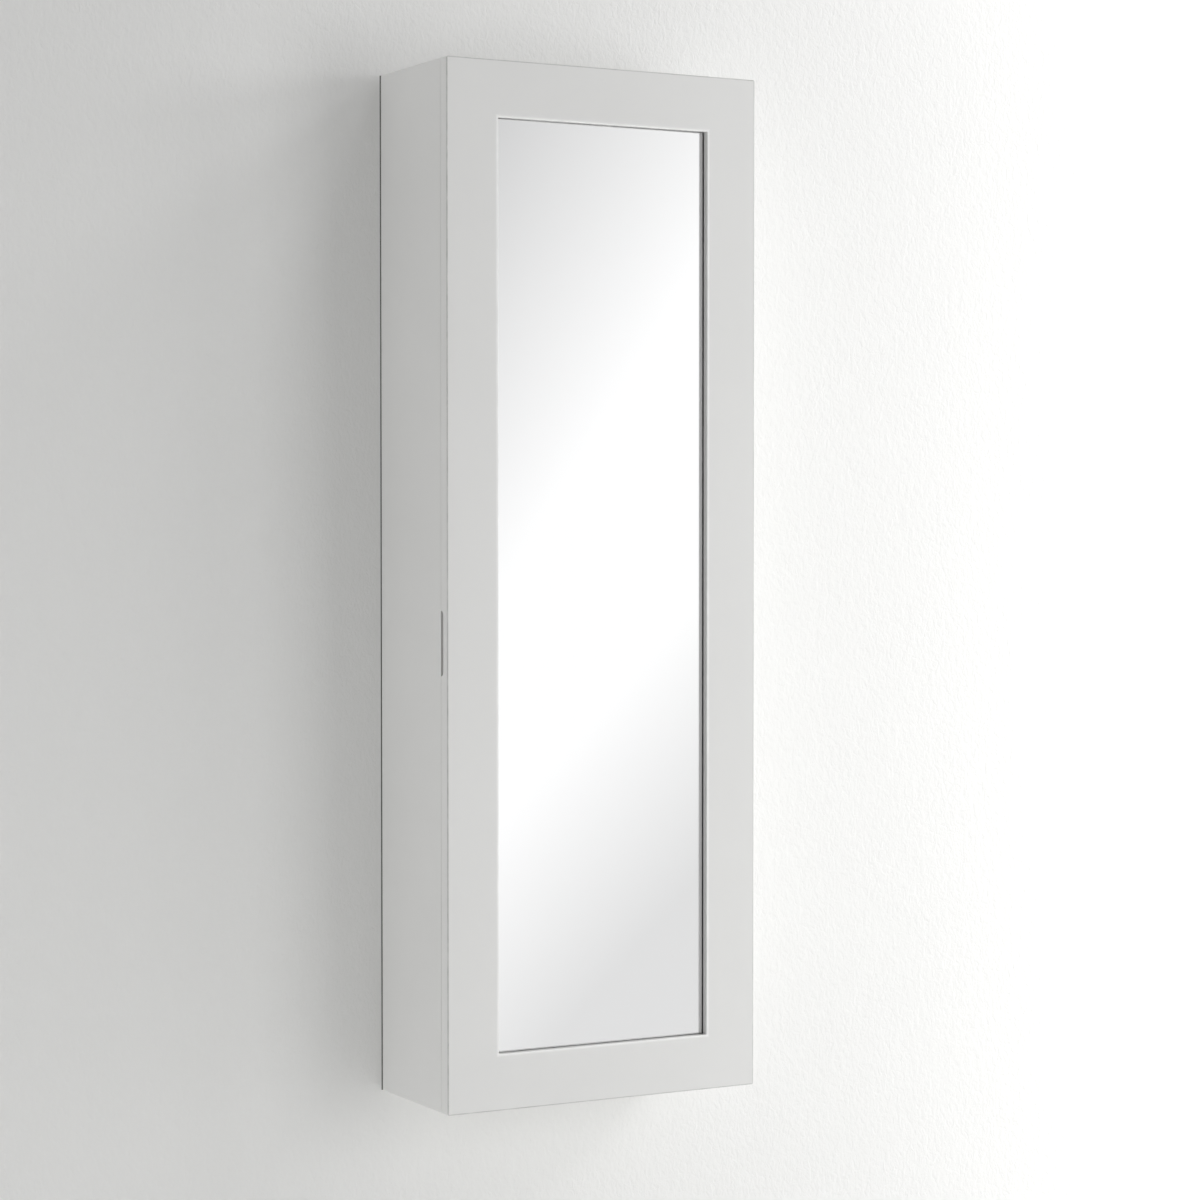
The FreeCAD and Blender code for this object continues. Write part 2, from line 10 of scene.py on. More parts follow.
import bmesh
import bpy
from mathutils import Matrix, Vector


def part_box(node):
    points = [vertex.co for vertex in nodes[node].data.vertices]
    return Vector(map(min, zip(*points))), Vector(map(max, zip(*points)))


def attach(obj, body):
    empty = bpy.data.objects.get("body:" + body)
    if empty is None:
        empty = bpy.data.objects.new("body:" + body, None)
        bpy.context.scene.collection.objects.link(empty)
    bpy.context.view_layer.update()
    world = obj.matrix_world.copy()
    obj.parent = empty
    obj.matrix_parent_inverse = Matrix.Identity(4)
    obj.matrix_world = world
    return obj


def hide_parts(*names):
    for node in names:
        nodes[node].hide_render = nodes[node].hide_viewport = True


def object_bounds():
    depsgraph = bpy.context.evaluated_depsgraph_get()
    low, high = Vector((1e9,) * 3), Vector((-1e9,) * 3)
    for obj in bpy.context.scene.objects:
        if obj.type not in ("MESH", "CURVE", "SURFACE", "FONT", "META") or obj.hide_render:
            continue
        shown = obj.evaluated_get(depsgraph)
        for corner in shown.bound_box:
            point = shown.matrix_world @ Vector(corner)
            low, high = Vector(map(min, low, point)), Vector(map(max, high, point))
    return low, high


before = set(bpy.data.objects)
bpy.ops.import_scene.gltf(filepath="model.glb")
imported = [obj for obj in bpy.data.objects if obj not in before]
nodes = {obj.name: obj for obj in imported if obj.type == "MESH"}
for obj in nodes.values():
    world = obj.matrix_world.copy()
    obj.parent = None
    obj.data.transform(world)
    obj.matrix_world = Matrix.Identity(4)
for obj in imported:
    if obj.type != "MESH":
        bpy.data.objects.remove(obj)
cad_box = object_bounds()
MM = 0.001


# ---------------------------------------------------------------------------------------------
# Case boards
# Two sides, a top and a bottom of 12 mm fibreboard, dowelled and glued, then sprayed as one
# with white satin lacquer. The coat shows a faint orange peel and hardly any change of tone.

def add(tree, kind, inputs=None, **settings):
    """Adds a node. An input is a value, or the output that feeds it, by name or by number."""
    node = tree.nodes.new(kind)
    for name, value in settings.items():
        setattr(node, name, value)
    for key, value in (inputs or {}).items():
        if isinstance(value, bpy.types.NodeSocket):
            tree.links.new(value, node.inputs[key])
        else:
            node.inputs[key].default_value = value
    return node


def effect(name, takes, gives):
    """An empty shader node group with its named inputs and outputs."""
    tree = bpy.data.node_groups.new(name, "ShaderNodeTree")
    for socket, (kind, value) in takes.items():
        made = tree.interface.new_socket(socket, in_out="INPUT", socket_type="NodeSocket" + kind)
        made.default_value = value
    for socket, kind in gives.items():
        tree.interface.new_socket(socket, in_out="OUTPUT", socket_type="NodeSocket" + kind)
    return tree, tree.nodes.new("NodeGroupInput").outputs, tree.nodes.new("NodeGroupOutput").inputs


def material(name, place=(1, 1, 1)):
    """A new material: its node tree, its Principled shader and the surface's own coordinates."""
    made = bpy.data.materials.new(name)
    made.use_nodes = True
    tree = made.node_tree
    shader = tree.nodes["Principled BSDF"]
    where = add(tree, "ShaderNodeTexCoord").outputs["Object"]
    if place != (1, 1, 1):
        where = add(tree, "ShaderNodeMapping", {"Vector": where, "Scale": place}).outputs["Vector"]
    return made, tree, shader, where


def noise(tree, where, scale, detail=2.0, rough=0.5):
    return add(tree, "ShaderNodeTexNoise", {"Vector": where, "Scale": scale, "Detail": detail,
                                            "Roughness": rough}).outputs["Fac"]


def spread(tree, value, low, high, at=(0.3, 0.7)):
    """Maps a mask, where it lies between the two values of at, onto low to high."""
    return add(tree, "ShaderNodeMapRange", {"Value": value, "From Min": at[0], "From Max": at[1],
                                            "To Min": low, "To Max": high}).outputs["Result"]


def calc(tree, operation, a, b=0.0):
    return add(tree, "ShaderNodeMath", {0: a, 1: b}, operation=operation).outputs[0]


def tinted(tree, mask, dark, light):
    """Mixes two colours by a mask."""
    made = add(tree, "ShaderNodeMix", {"Factor": mask}, data_type="RGBA")
    for socket, colour in ((6, dark), (7, light)):
        if isinstance(colour, bpy.types.NodeSocket):
            tree.links.new(colour, made.inputs[socket])
        else:
            made.inputs[socket].default_value = (*colour, 1)
    return made.outputs[2]


def feed(tree, shader, colour=None, rough=None, height=None, deep=0.0):
    """Plugs a surface's colour, roughness and relief into its shader."""
    if colour is not None:
        tree.links.new(colour, shader.inputs["Base Color"])
    if rough is not None:
        tree.links.new(rough, shader.inputs["Roughness"])
    if height is not None:
        bump = add(tree, "ShaderNodeBump", {"Height": height, "Distance": deep, "Strength": 1.0})
        tree.links.new(bump.outputs["Normal"], shader.inputs["Normal"])


def dress(made, slot, *names):
    """Gives CAD nodes their finish."""
    for name in names:
        obj = nodes[name]
        obj.data.materials.clear()
        obj.data.materials.append(made)


# Orange peel: low, rounded cells that a spray gun leaves, on a slow drift of thickness.
peel, peel_in, peel_out = effect(
    "orange peel",
    {"Vector": ("Vector", (0, 0, 0)), "Cells": ("Float", 300.0), "Colour": ("Color", (1, 1, 1, 1)),
     "Uneven": ("Float", 0.02), "Low Gloss": ("Float", 0.4), "High Gloss": ("Float", 0.5)},
    {"Colour": "Color", "Roughness": "Float", "Height": "Float"})
cells = noise(peel, peel_in["Vector"], peel_in["Cells"], 1.0, 0.4)
drift = noise(peel, peel_in["Vector"], 5.0, 3.0, 0.55)
fine = calc(peel, "MULTIPLY", noise(peel, peel_in["Vector"], 2200.0, 0.0), 0.25)
shade = spread(peel, drift, 0.0, 1.0)
dimmed = add(peel, "ShaderNodeMix", {"Factor": peel_in["Uneven"]}, data_type="RGBA",
             blend_type="MULTIPLY")
peel.links.new(peel_in["Colour"], dimmed.inputs[6])
grey = add(peel, "ShaderNodeCombineColor", {"Red": shade, "Green": shade, "Blue": shade}).outputs["Color"]
peel.links.new(grey, dimmed.inputs[7])
gloss = add(peel, "ShaderNodeMapRange", {"Value": drift, "From Min": 0.3, "From Max": 0.7,
                                         "To Min": peel_in["Low Gloss"], "To Max": peel_in["High Gloss"]})
peel.links.new(dimmed.outputs[2], peel_out["Colour"])
peel.links.new(gloss.outputs["Result"], peel_out["Roughness"])
peel.links.new(calc(peel, "ADD", cells, fine), peel_out["Height"])


def sprayed(name, colour, cells, uneven, gloss, deep):
    """A sprayed or moulded skin: one colour, with the orange peel group for its relief."""
    made, tree, shader, where = material(name)
    skin = add(tree, "ShaderNodeGroup", node_tree=peel)
    tree.links.new(where, skin.inputs["Vector"])
    skin.inputs["Cells"].default_value = cells
    skin.inputs["Colour"].default_value = (*colour, 1)
    skin.inputs["Uneven"].default_value = uneven
    skin.inputs["Low Gloss"].default_value, skin.inputs["High Gloss"].default_value = gloss
    feed(tree, shader, skin.outputs["Colour"], skin.outputs["Roughness"], skin.outputs["Height"], deep)
    return made, shader


def lacquered(name):
    """The cabinet's own white satin lacquer."""
    made, shader = sprayed(name, (0.80, 0.80, 0.79), 320.0, 0.03, (0.38, 0.48), 0.012 * MM)
    shader.inputs["IOR"].default_value = 1.48
    return made, shader


lacquer, shader = lacquered("white satin lacquer")
dress(lacquer, "white_lacquer", "case_left_side", "case_right_side", "case_top", "case_bottom")


# ---------------------------------------------------------------------------------------------
# Wall rails and dowels
# Two planed softwood rails between the sides carry the wall screws; they show from behind.
# Dowels of turned beech join every board, and their glued ends are out of sight.

grain, grain_in, grain_out = effect(
    "wood grain",
    {"Vector": ("Vector", (0, 0, 0)), "Rings": ("Float", 60.0), "Early": ("Color", (1, 1, 1, 1)),
     "Late": ("Color", (1, 1, 1, 1))},
    {"Colour": "Color", "Roughness": "Float", "Height": "Float"})
ring = add(grain, "ShaderNodeTexWave", {"Vector": grain_in["Vector"], "Scale": grain_in["Rings"],
                                        "Distortion": 9.0, "Detail": 3.0, "Detail Scale": 0.7},
           bands_direction="Z").outputs["Fac"]
fibre = noise(grain, grain_in["Vector"], 900.0, 4.0, 0.7)
mark = calc(grain, "MULTIPLY", ring, spread(grain, fibre, 0.75, 1.0))
wood_tone = add(grain, "ShaderNodeMix", {"Factor": mark}, data_type="RGBA")
grain.links.new(grain_in["Early"], wood_tone.inputs[6])
grain.links.new(grain_in["Late"], wood_tone.inputs[7])
grain.links.new(wood_tone.outputs[2], grain_out["Colour"])
grain.links.new(spread(grain, mark, 0.72, 0.55, (0, 1)), grain_out["Roughness"])
grain.links.new(calc(grain, "ADD", mark, fibre), grain_out["Height"])


def wooden(name, stretch, rings, early, late):
    made, tree, shader, where = material(name, stretch)
    skin = add(tree, "ShaderNodeGroup", {"Vector": where}, node_tree=grain)
    skin.inputs["Rings"].default_value = rings
    skin.inputs["Early"].default_value = (*early, 1)
    skin.inputs["Late"].default_value = (*late, 1)
    feed(tree, shader, skin.outputs["Colour"], skin.outputs["Roughness"], skin.outputs["Height"],
         0.05 * MM)
    return made


softwood = wooden("planed softwood", (0.05, 1, 1), 24.0, (0.66, 0.49, 0.30), (0.54, 0.36, 0.19))
beech = wooden("turned beech", (0.10, 1, 1), 120.0, (0.62, 0.42, 0.25), (0.50, 0.31, 0.17))
dress(softwood, "rail_wood", "wall_rail_upper", "wall_rail_lower")


def solids(name):
    """Lowest and highest corner of each solid in a CAD node, in a steady order."""
    shape = bmesh.new()
    shape.from_mesh(nodes[name].data)
    bmesh.ops.remove_doubles(shape, verts=shape.verts, dist=1e-6)
    left = set(shape.verts)
    boxes = []
    while left:
        group, front = set(), [next(iter(left))]
        while front:
            vert = front.pop()
            if vert in group:
                continue
            group.add(vert)
            front += [edge.other_vert(vert) for edge in vert.link_edges]
        left -= group
        xyz = list(zip(*[vert.co for vert in group]))
        boxes.append((Vector(map(min, xyz)), Vector(map(max, xyz))))
    shape.free()
    return sorted(boxes, key=lambda box: tuple(round(v, 5) for v in box[0]))


def repeats(title, takes):
    """A Geometry Nodes tree that sets out one piece on marked points, and its named inputs."""
    tree = bpy.data.node_groups.new(title, "GeometryNodeTree")
    tree.interface.new_socket("Points", in_out="INPUT", socket_type="NodeSocketGeometry")
    for name, (kind, value) in takes.items():
        made = tree.interface.new_socket(name, in_out="INPUT", socket_type="NodeSocket" + kind)
        made.default_value = value
    tree.interface.new_socket("Material", in_out="INPUT", socket_type="NodeSocketMaterial")
    tree.interface.new_socket("Pieces", in_out="OUTPUT", socket_type="NodeSocketGeometry")
    return tree, tree.nodes.new("NodeGroupInput").outputs, tree.nodes.new("NodeGroupOutput").inputs


def set_out(tree, given, result, piece):
    """Ends a tree: piece stands on each point along its 'into' arrow, turned by its 'turn'."""
    into = add(tree, "GeometryNodeInputNamedAttribute", {"Name": "into"}, data_type="FLOAT_VECTOR")
    turn = add(tree, "GeometryNodeInputNamedAttribute", {"Name": "turn"}, data_type="FLOAT")
    spin = add(tree, "FunctionNodeAxisAngleToRotation", {"Axis": (0, 0, 1), "Angle": turn.outputs[0]})
    aim = add(tree, "FunctionNodeAlignRotationToVector", {
        "Rotation": spin.outputs[0], "Vector": into.outputs[0]}, axis="Z")
    copies = add(tree, "GeometryNodeInstanceOnPoints", {
        "Points": given["Points"], "Instance": piece, "Rotation": aim.outputs[0]})
    real = add(tree, "GeometryNodeRealizeInstances", {0: copies.outputs[0]})
    painted = add(tree, "GeometryNodeSetMaterial", {
        "Geometry": real.outputs[0], "Material": given["Material"]})
    tree.links.new(painted.outputs[0], result["Pieces"])


def sums(tree, operation, *values):
    """One maths node of a geometry tree, with one, two or three inputs."""
    return add(tree, "ShaderNodeMath", dict(enumerate(values)), operation=operation).outputs[0]


def place_repeats(name, tree, points, body, finish, replaced, sizes, seed=1):
    """Runs a tree on (place, direction) points and leaves one plain mesh that rides on a body."""
    draw = random.Random(seed)
    marks = bpy.data.meshes.new(name)
    marks.from_pydata([at for at, along in points], [], [])
    marks.attributes.new("into", "FLOAT_VECTOR", "POINT")
    marks.attributes.new("turn", "FLOAT", "POINT")
    for n, (at, along) in enumerate(points):
        marks.attributes["into"].data[n].vector = along
        marks.attributes["turn"].data[n].value = draw.uniform(0, math.tau)
    maker = bpy.data.objects.new(name + "_marks", marks)
    bpy.context.scene.collection.objects.link(maker)
    modifier = maker.modifiers.new("set out", "NODES")
    modifier.node_group = tree
    for item in tree.interface.items_tree:
        if item.in_out == "INPUT" and item.name in sizes:
            modifier[item.identifier] = sizes[item.name]
        if item.in_out == "INPUT" and item.name == "Material":
            modifier[item.identifier] = finish
    return plain_piece(maker, name, body, finish, replaced)


def plain_piece(maker, name, body, finish, replaced=(), sharp=35):
    """Turns an object with live modifiers into one plain mesh piece, and removes the maker."""
    graph = bpy.context.evaluated_depsgraph_get()
    mesh = bpy.data.meshes.new_from_object(maker.evaluated_get(graph), depsgraph=graph)
    maker.modifiers.clear()
    bpy.data.objects.remove(maker)
    mesh.name = name
    return finished(bpy.data.objects.new(name, mesh), body, finish, replaced, sharp)


def finished(obj, body, finish, replaced=(), sharp=35):
    """Links a piece, gives it its finish, shades it, sets it on its body and hides the nodes it stands
    for. A sharp of None keeps its own shading.
    """
    if obj.name not in bpy.context.scene.collection.objects:
        bpy.context.scene.collection.objects.link(obj)
    obj.data.materials.clear()
    obj.data.materials.append(finish)
    for face in obj.data.polygons:
        face.material_index = 0
    if sharp is not None:
        obj.data.shade_smooth()
        obj.data.set_sharp_from_angle(angle=math.radians(sharp))
    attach(obj, body)
    if replaced:
        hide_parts(*replaced)
    return obj


# A turned pin: a round bar with a small chamfer at both ends and shallow flutes if it is a dowel.
AROUND = 48                     # points round the bar, three to each flute
pin, pin_in, pin_out = repeats("turned pin", {
    "Radius": ("Float", 0.003), "Length": ("Float", 0.03), "Chamfer": ("Float", 0.0008),
    "Flutes": ("Int", 0), "Flute Depth": ("Float", 0.0)})
far = add(pin, "ShaderNodeCombineXYZ", {"Z": pin_in["Length"]})
core = add(pin, "GeometryNodeCurvePrimitiveLine", {"Start": (0, 0, 0), "End": far.outputs[0]})
core = add(pin, "GeometryNodeResampleCurve", {"Curve": core.outputs[0], "Count": 61})
along = add(pin, "GeometryNodeSplineParameter").outputs["Length"]
nearest_end = sums(pin, "MINIMUM", along, sums(pin, "SUBTRACT", pin_in["Length"], along))
cut_back = sums(pin, "MAXIMUM", sums(pin, "SUBTRACT", pin_in["Chamfer"], nearest_end), 0.0)
radius = sums(pin, "SUBTRACT", pin_in["Radius"], cut_back)
hoop = add(pin, "GeometryNodeCurvePrimitiveCircle", {"Resolution": AROUND, "Radius": 1.0})
index = add(pin, "GeometryNodeInputIndex").outputs[0]
turned = sums(pin, "MULTIPLY", sums(pin, "MULTIPLY", index, math.tau / AROUND), pin_in["Flutes"])
wave = sums(pin, "SUBTRACT", sums(pin, "COSINE", turned), 1.0)
wave = sums(pin, "MULTIPLY", wave, sums(pin, "DIVIDE", pin_in["Flute Depth"], pin_in["Radius"]))
wave = sums(pin, "DIVIDE", wave, 2.0)
hoop_at = add(pin, "GeometryNodeInputPosition").outputs[0]
inwards = add(pin, "ShaderNodeVectorMath", {0: hoop_at, "Scale": wave}, operation="SCALE").outputs[0]
fluted = add(pin, "GeometryNodeSetPosition", {"Geometry": hoop.outputs[0], "Offset": inwards})
bar = add(pin, "GeometryNodeCurveToMesh", {
    "Curve": core.outputs[0], "Profile Curve": fluted.outputs[0], "Scale": radius, "Fill Caps": True})
set_out(pin, pin_in, pin_out, bar.outputs[0])


def turned_bars(name, node, body, finish, sizes):
    """Stands a turned pin in the place of each of a node's solids, which all run along X."""
    boxes = solids(node)
    points = []
    for low, high in boxes:
        start = (low + high) / 2
        start.x = low.x
        points.append((start, Vector((1, 0, 0))))
    low, high = boxes[0]
    sizes = {"Radius": (high.z - low.z) / 2, "Length": high.x - low.x, **sizes}
    place_repeats(name, pin, points, body, finish, [node], sizes)


for node, body in (("case_dowels", "case"), ("door_dowels", "door")):
    turned_bars("fluted_" + node, node, body, beech,
                {"Flutes": 16, "Flute Depth": 0.3 * MM})


# ---------------------------------------------------------------------------------------------
# Back panel and lining
# A 3 mm white-coated hardboard panel slides in grooves in the case. Before it lies a card that
# is flocked with short grey velvet; strokes of a hand leave lighter and darker patches in it.

hardboard, tree, shader, where = material("white-coated hardboard")
flecks = spread(tree, noise(tree, where, 700.0, 3.0, 0.7), 0.0, 1.0, (0.55, 0.75))
feed(tree, shader, tinted(tree, flecks, (0.70, 0.69, 0.66), (0.60, 0.57, 0.52)),
     spread(tree, flecks, 0.5, 0.65, (0, 1)), noise(tree, where, 420.0, 4.0, 0.6), 0.04 * MM)
dress(hardboard, "back_board", "back_panel")

pile, pile_in, pile_out = effect(
    "velvet pile",
    {"Vector": ("Vector", (0, 0, 0)), "Shade": ("Color", (0.2, 0.2, 0.2, 1)),
     "Bloom": ("Color", (0.4, 0.4, 0.4, 1)), "Strokes": ("Float", 9.0)},
    {"Colour": "Color", "Roughness": "Float", "Height": "Float"})
combed = add(pile, "ShaderNodeMapping", {"Vector": pile_in["Vector"], "Scale": (1.0, 1.0, 0.3)})
strokes = add(pile, "ShaderNodeTexNoise", {
    "Vector": combed.outputs["Vector"], "Scale": pile_in["Strokes"], "Detail": 2.0,
    "Roughness": 0.45, "Distortion": 0.3}).outputs["Fac"]
tufts = noise(pile, pile_in["Vector"], 1500.0, 2.0, 0.8)
laid = spread(pile, strokes, 0.22, 0.36, (0.35, 0.68))
lit = calc(pile, "ADD", laid, spread(pile, tufts, -0.2, 0.32))
nap = add(pile, "ShaderNodeMix", {"Factor": lit}, data_type="RGBA", clamp_factor=True)
pile.links.new(pile_in["Shade"], nap.inputs[6])
pile.links.new(pile_in["Bloom"], nap.inputs[7])
pile.links.new(nap.outputs[2], pile_out["Colour"])
pile.links.new(spread(pile, tufts, 0.8, 1.0), pile_out["Roughness"])
pile.links.new(calc(pile, "ADD", tufts, laid), pile_out["Height"])


def velvety(name, shade, bloom, strokes, sheen, deep=0.25 * MM):
    made, tree, shader, where = material(name)
    skin = add(tree, "ShaderNodeGroup", {"Vector": where}, node_tree=pile)
    skin.inputs["Shade"].default_value = (*shade, 1)
    skin.inputs["Bloom"].default_value = (*bloom, 1)
    skin.inputs["Strokes"].default_value = strokes
    feed(tree, shader, skin.outputs["Colour"], skin.outputs["Roughness"], skin.outputs["Height"], deep)
    shader.inputs["Sheen Weight"].default_value = sheen
    shader.inputs["Sheen Roughness"].default_value = 0.35
    shader.inputs["Specular IOR Level"].default_value = 0.15
    return made


velvet = velvety("flocked grey velvet", (0.165, 0.16, 0.155), (0.26, 0.253, 0.246), 22.0, 0.5)
dress(velvet, "velvet_lining", "case_lining")


# ---------------------------------------------------------------------------------------------
# Door frame
# Two stiles and two rails of 16 mm fibreboard, dowelled, glued and lacquered as one surface.
# The pull is a scoop milled in the back of the left stile, so that the front stays bare.

# Arris band: a mask along a rim on the door's face that fades over its reach, in patches. It marks where
# shade and a highlight are painted along the door's arrises.
arris_band, arris_band_in, arris_band_out = effect(
    "arris band for painted shade and highlight",
    {"Vector": ("Vector", (0, 0, 0)), "Half Width": ("Float", 0.2), "Half Height": ("Float", 0.59),
     "Face": ("Float", -0.174), "Reach": ("Float", 0.001)},
    {"Mask": "Float"})
spot = add(arris_band, "ShaderNodeSeparateXYZ", {"Vector": arris_band_in["Vector"]}).outputs
over_x = calc(arris_band, "SUBTRACT", calc(arris_band, "ABSOLUTE", spot["X"]), arris_band_in["Half Width"])
over_z = calc(arris_band, "SUBTRACT", calc(arris_band, "ABSOLUTE", spot["Z"]), arris_band_in["Half Height"])
from_rim = calc(arris_band, "ABSOLUTE", calc(arris_band, "MAXIMUM", over_x, over_z))
behind = calc(arris_band, "SUBTRACT", spot["Y"], arris_band_in["Face"])
near_edge = calc(arris_band, "DIVIDE", calc(arris_band, "ADD", from_rim, behind), arris_band_in["Reach"])
faded = add(arris_band, "ShaderNodeMath", {0: 1.6, 1: near_edge}, operation="SUBTRACT", use_clamp=True)
patchy = spread(arris_band, noise(arris_band, arris_band_in["Vector"], 60.0, 3.0, 0.6), 0.55, 1.0)
arris_band.links.new(calc(arris_band, "MULTIPLY", faded.outputs[0], patchy), arris_band_out["Mask"])

door_lacquer, shader = lacquered("white satin lacquer, door")
tree = door_lacquer.node_tree
where = next(n for n in tree.nodes if n.bl_idname == "ShaderNodeTexCoord").outputs["Object"]
skin = shader.inputs["Base Color"].links[0].from_socket
outer_rim_shade = add(tree, "ShaderNodeGroup", {"Vector": where}, node_tree=arris_band)
inner_lip_highlight = add(tree, "ShaderNodeGroup", {
    "Vector": where, "Half Width": 0.136, "Half Height": 0.526, "Reach": 2.2 * MM}, node_tree=arris_band)
# Painted shade: the outer arris of the door's face is darkened towards grey 0.42. Painted highlight: the
# inner lip of the mirror opening is lightened to near white and given a clear coat.
scratch_wear_and_rim_shade = calc(tree, "MULTIPLY", outer_rim_shade.outputs["Mask"], 0.9)
rim_shaded_skin = tinted(tree, scratch_wear_and_rim_shade, skin, (0.42, 0.42, 0.41))
lip_highlighted_skin = tinted(tree, inner_lip_highlight.outputs["Mask"], rim_shaded_skin, (0.98, 0.98, 0.97))
tree.links.new(lip_highlighted_skin, shader.inputs["Base Color"])
tree.links.new(inner_lip_highlight.outputs["Mask"], shader.inputs["Coat Weight"])
dress(door_lacquer, "white_lacquer",
      "door_stile_left", "door_stile_right", "door_rail_top", "door_rail_bottom")


# ---------------------------------------------------------------------------------------------
# Mirror
# A 3 mm float glass sheet, silvered on its back, lies in the door's rebate 8 mm behind the face.
# Foam film and a flocked hardboard backing, screwed on, hold it from behind.

def block(name, low, high):
    """A closed box between two corners."""
    mesh = bpy.data.meshes.new(name)
    shape = bmesh.new()
    bmesh.ops.create_cube(shape, size=1.0)
    for vert in shape.verts:
        vert.co = Vector(h if v > 0 else l for v, l, h in zip(vert.co, low, high))
    shape.to_mesh(mesh)
    shape.free()
    return bpy.data.objects.new(name, mesh)


ARRIS = 0.4 * MM                # the ground edge of the glass
SILVER = 0.06 * MM              # silver, copper and paint behind the glass
glass_low, glass_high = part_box("mirror_glass")

glass_made, tree, shader, where = material("float glass")
smear = spread(tree, noise(tree, where, 3.0, 4.0, 0.6), 0.0, 0.012, (0.4, 0.8))
feed(tree, shader, rough=smear)
shader.inputs["Base Color"].default_value = (0.990, 0.990, 0.991, 1)
shader.inputs["Transmission Weight"].default_value = 1.0
shader.inputs["IOR"].default_value = 1.52

glass = block("mirror_glass_sheet", glass_low, glass_high - Vector((0, SILVER, 0)))
bpy.context.scene.collection.objects.link(glass)
ground = glass.modifiers.new("ground edge", "BEVEL")
ground.width = ARRIS
ground.segments = 1
plain_piece(glass, "mirror_glass_sheet", "door", glass_made, ["mirror_glass"], None)

silver_made, tree, shader, where = material("silvering")
film = noise(tree, where, 6.0, 2.0)
feed(tree, shader, tinted(tree, film, (0.962, 0.965, 0.966), (0.970, 0.972, 0.973)),
     spread(tree, film, 0.0, 0.008))
shader.inputs["Metallic"].default_value = 1.0
inset = Vector((ARRIS, 0, ARRIS))
silver_low = Vector((glass_low.x, glass_high.y - 2 * SILVER, glass_low.z))
silvering = block("mirror_silvering", silver_low + inset, glass_high - inset)
finished(silvering, "door", silver_made)

foam_made, tree, shader, where = material("packing foam")
bubbles = add(tree, "ShaderNodeTexVoronoi", {"Vector": where, "Scale": 450.0}).outputs["Distance"]
feed(tree, shader, tinted(tree, bubbles, (0.72, 0.72, 0.70), (0.84, 0.84, 0.82)),
     spread(tree, bubbles, 0.6, 0.85, (0, 0.6)), bubbles, 0.2 * MM)


def sheet_grid(name, low, high, step, bulge, seed):
    """A closed sheet across Y, pressed thin at its edges and uneven between them."""
    draw = random.Random(seed)
    pressed = 3                 # steps from an edge to the sheet's full thickness
    across = max(2, round((high.x - low.x) / step))
    up = max(2, round((high.z - low.z) / step))
    verts, faces = [], []
    for side in (0, 1):
        for j in range(up + 1):
            for i in range(across + 1):
                full = min(i, across - i, pressed) * min(j, up - j, pressed) / pressed ** 2
                out = 1 if side else -1
                y = high.y if side else low.y
                y += out * bulge * full * draw.uniform(0.4, 1.0) - out * bulge
                verts.append((low.x + (high.x - low.x) * i / across, y,
                              low.z + (high.z - low.z) * j / up))
    row = across + 1
    sheet = row * (up + 1)
    for j in range(up):
        for i in range(across):
            a = j * row + i
            faces.append((a, a + 1, a + 1 + row, a + row))
            faces.append((sheet + a, sheet + a + row, sheet + a + 1 + row, sheet + a + 1))
    rim = list(range(row)) + [j * row + across for j in range(1, up + 1)]
    rim += [up * row + i for i in range(across - 1, -1, -1)]
    rim += [j * row for j in range(up - 1, 0, -1)]
    for a, b in zip(rim, rim[1:] + rim[:1]):
        faces.append((a, sheet + a, sheet + b, b))
    mesh = bpy.data.meshes.new(name)
    mesh.from_pydata(verts, [], faces)
    shape = bmesh.new()
    shape.from_mesh(mesh)
    bmesh.ops.recalc_face_normals(shape, faces=shape.faces)
    shape.to_mesh(mesh)
    shape.free()
    return bpy.data.objects.new(name, mesh)


pad_low, pad_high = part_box("mirror_pad")
pad = sheet_grid("mirror_foam_film", pad_low, pad_high, 12 * MM, 0.15 * MM, seed=3)
finished(pad, "door", foam_made, ["mirror_pad"])
dress(velvet, "flocked_board", "mirror_backing")


# ---------------------------------------------------------------------------------------------
# Hinges
# Three butt hinges of nickel-plated steel, let into the right-hand edges with their knuckles
# outside. Rolled knuckles alternate on a riveted pin; the plating has fine handling scratches.

scuff, scuff_in, scuff_out = effect(
    "fine scratches",
    {"Vector": ("Vector", (0, 0, 0)), "Metal": ("Color", (0.7, 0.7, 0.7, 1)), "Polish": ("Float", 0.15),
     "Scratched": ("Float", 0.35)},
    {"Colour": "Color", "Roughness": "Float", "Height": "Float"})
long_way = add(scuff, "ShaderNodeMapping", {"Vector": scuff_in["Vector"], "Scale": (1, 1, 0.08),
                                            "Rotation": (0.2, 0.5, 0.1)}).outputs["Vector"]
hairs = spread(scuff, noise(scuff, long_way, 2600.0, 3.0, 0.75), 0.0, 1.0, (0.52, 0.72))
breath = noise(scuff, scuff_in["Vector"], 60.0, 3.0, 0.6)
scratch_wear_and_rim_shade = calc(scuff, "MULTIPLY", hairs, spread(scuff, breath, 0.2, 1.0))
rough_range = add(scuff, "ShaderNodeMapRange", {"Value": scratch_wear_and_rim_shade, "To Min": scuff_in["Polish"],
                                                "To Max": scuff_in["Scratched"]})
dulled = add(scuff, "ShaderNodeMix", {"Factor": calc(scuff, "MULTIPLY", scratch_wear_and_rim_shade, 0.12)},
             data_type="RGBA", blend_type="MULTIPLY")
scuff.links.new(scuff_in["Metal"], dulled.inputs[6])
dulled.inputs[7].default_value = (0.5, 0.5, 0.5, 1)
scuff.links.new(dulled.outputs[2], scuff_out["Colour"])
scuff.links.new(rough_range.outputs["Result"], scuff_out["Roughness"])
scuff.links.new(calc(scuff, "SUBTRACT", breath, scratch_wear_and_rim_shade), scuff_out["Height"])


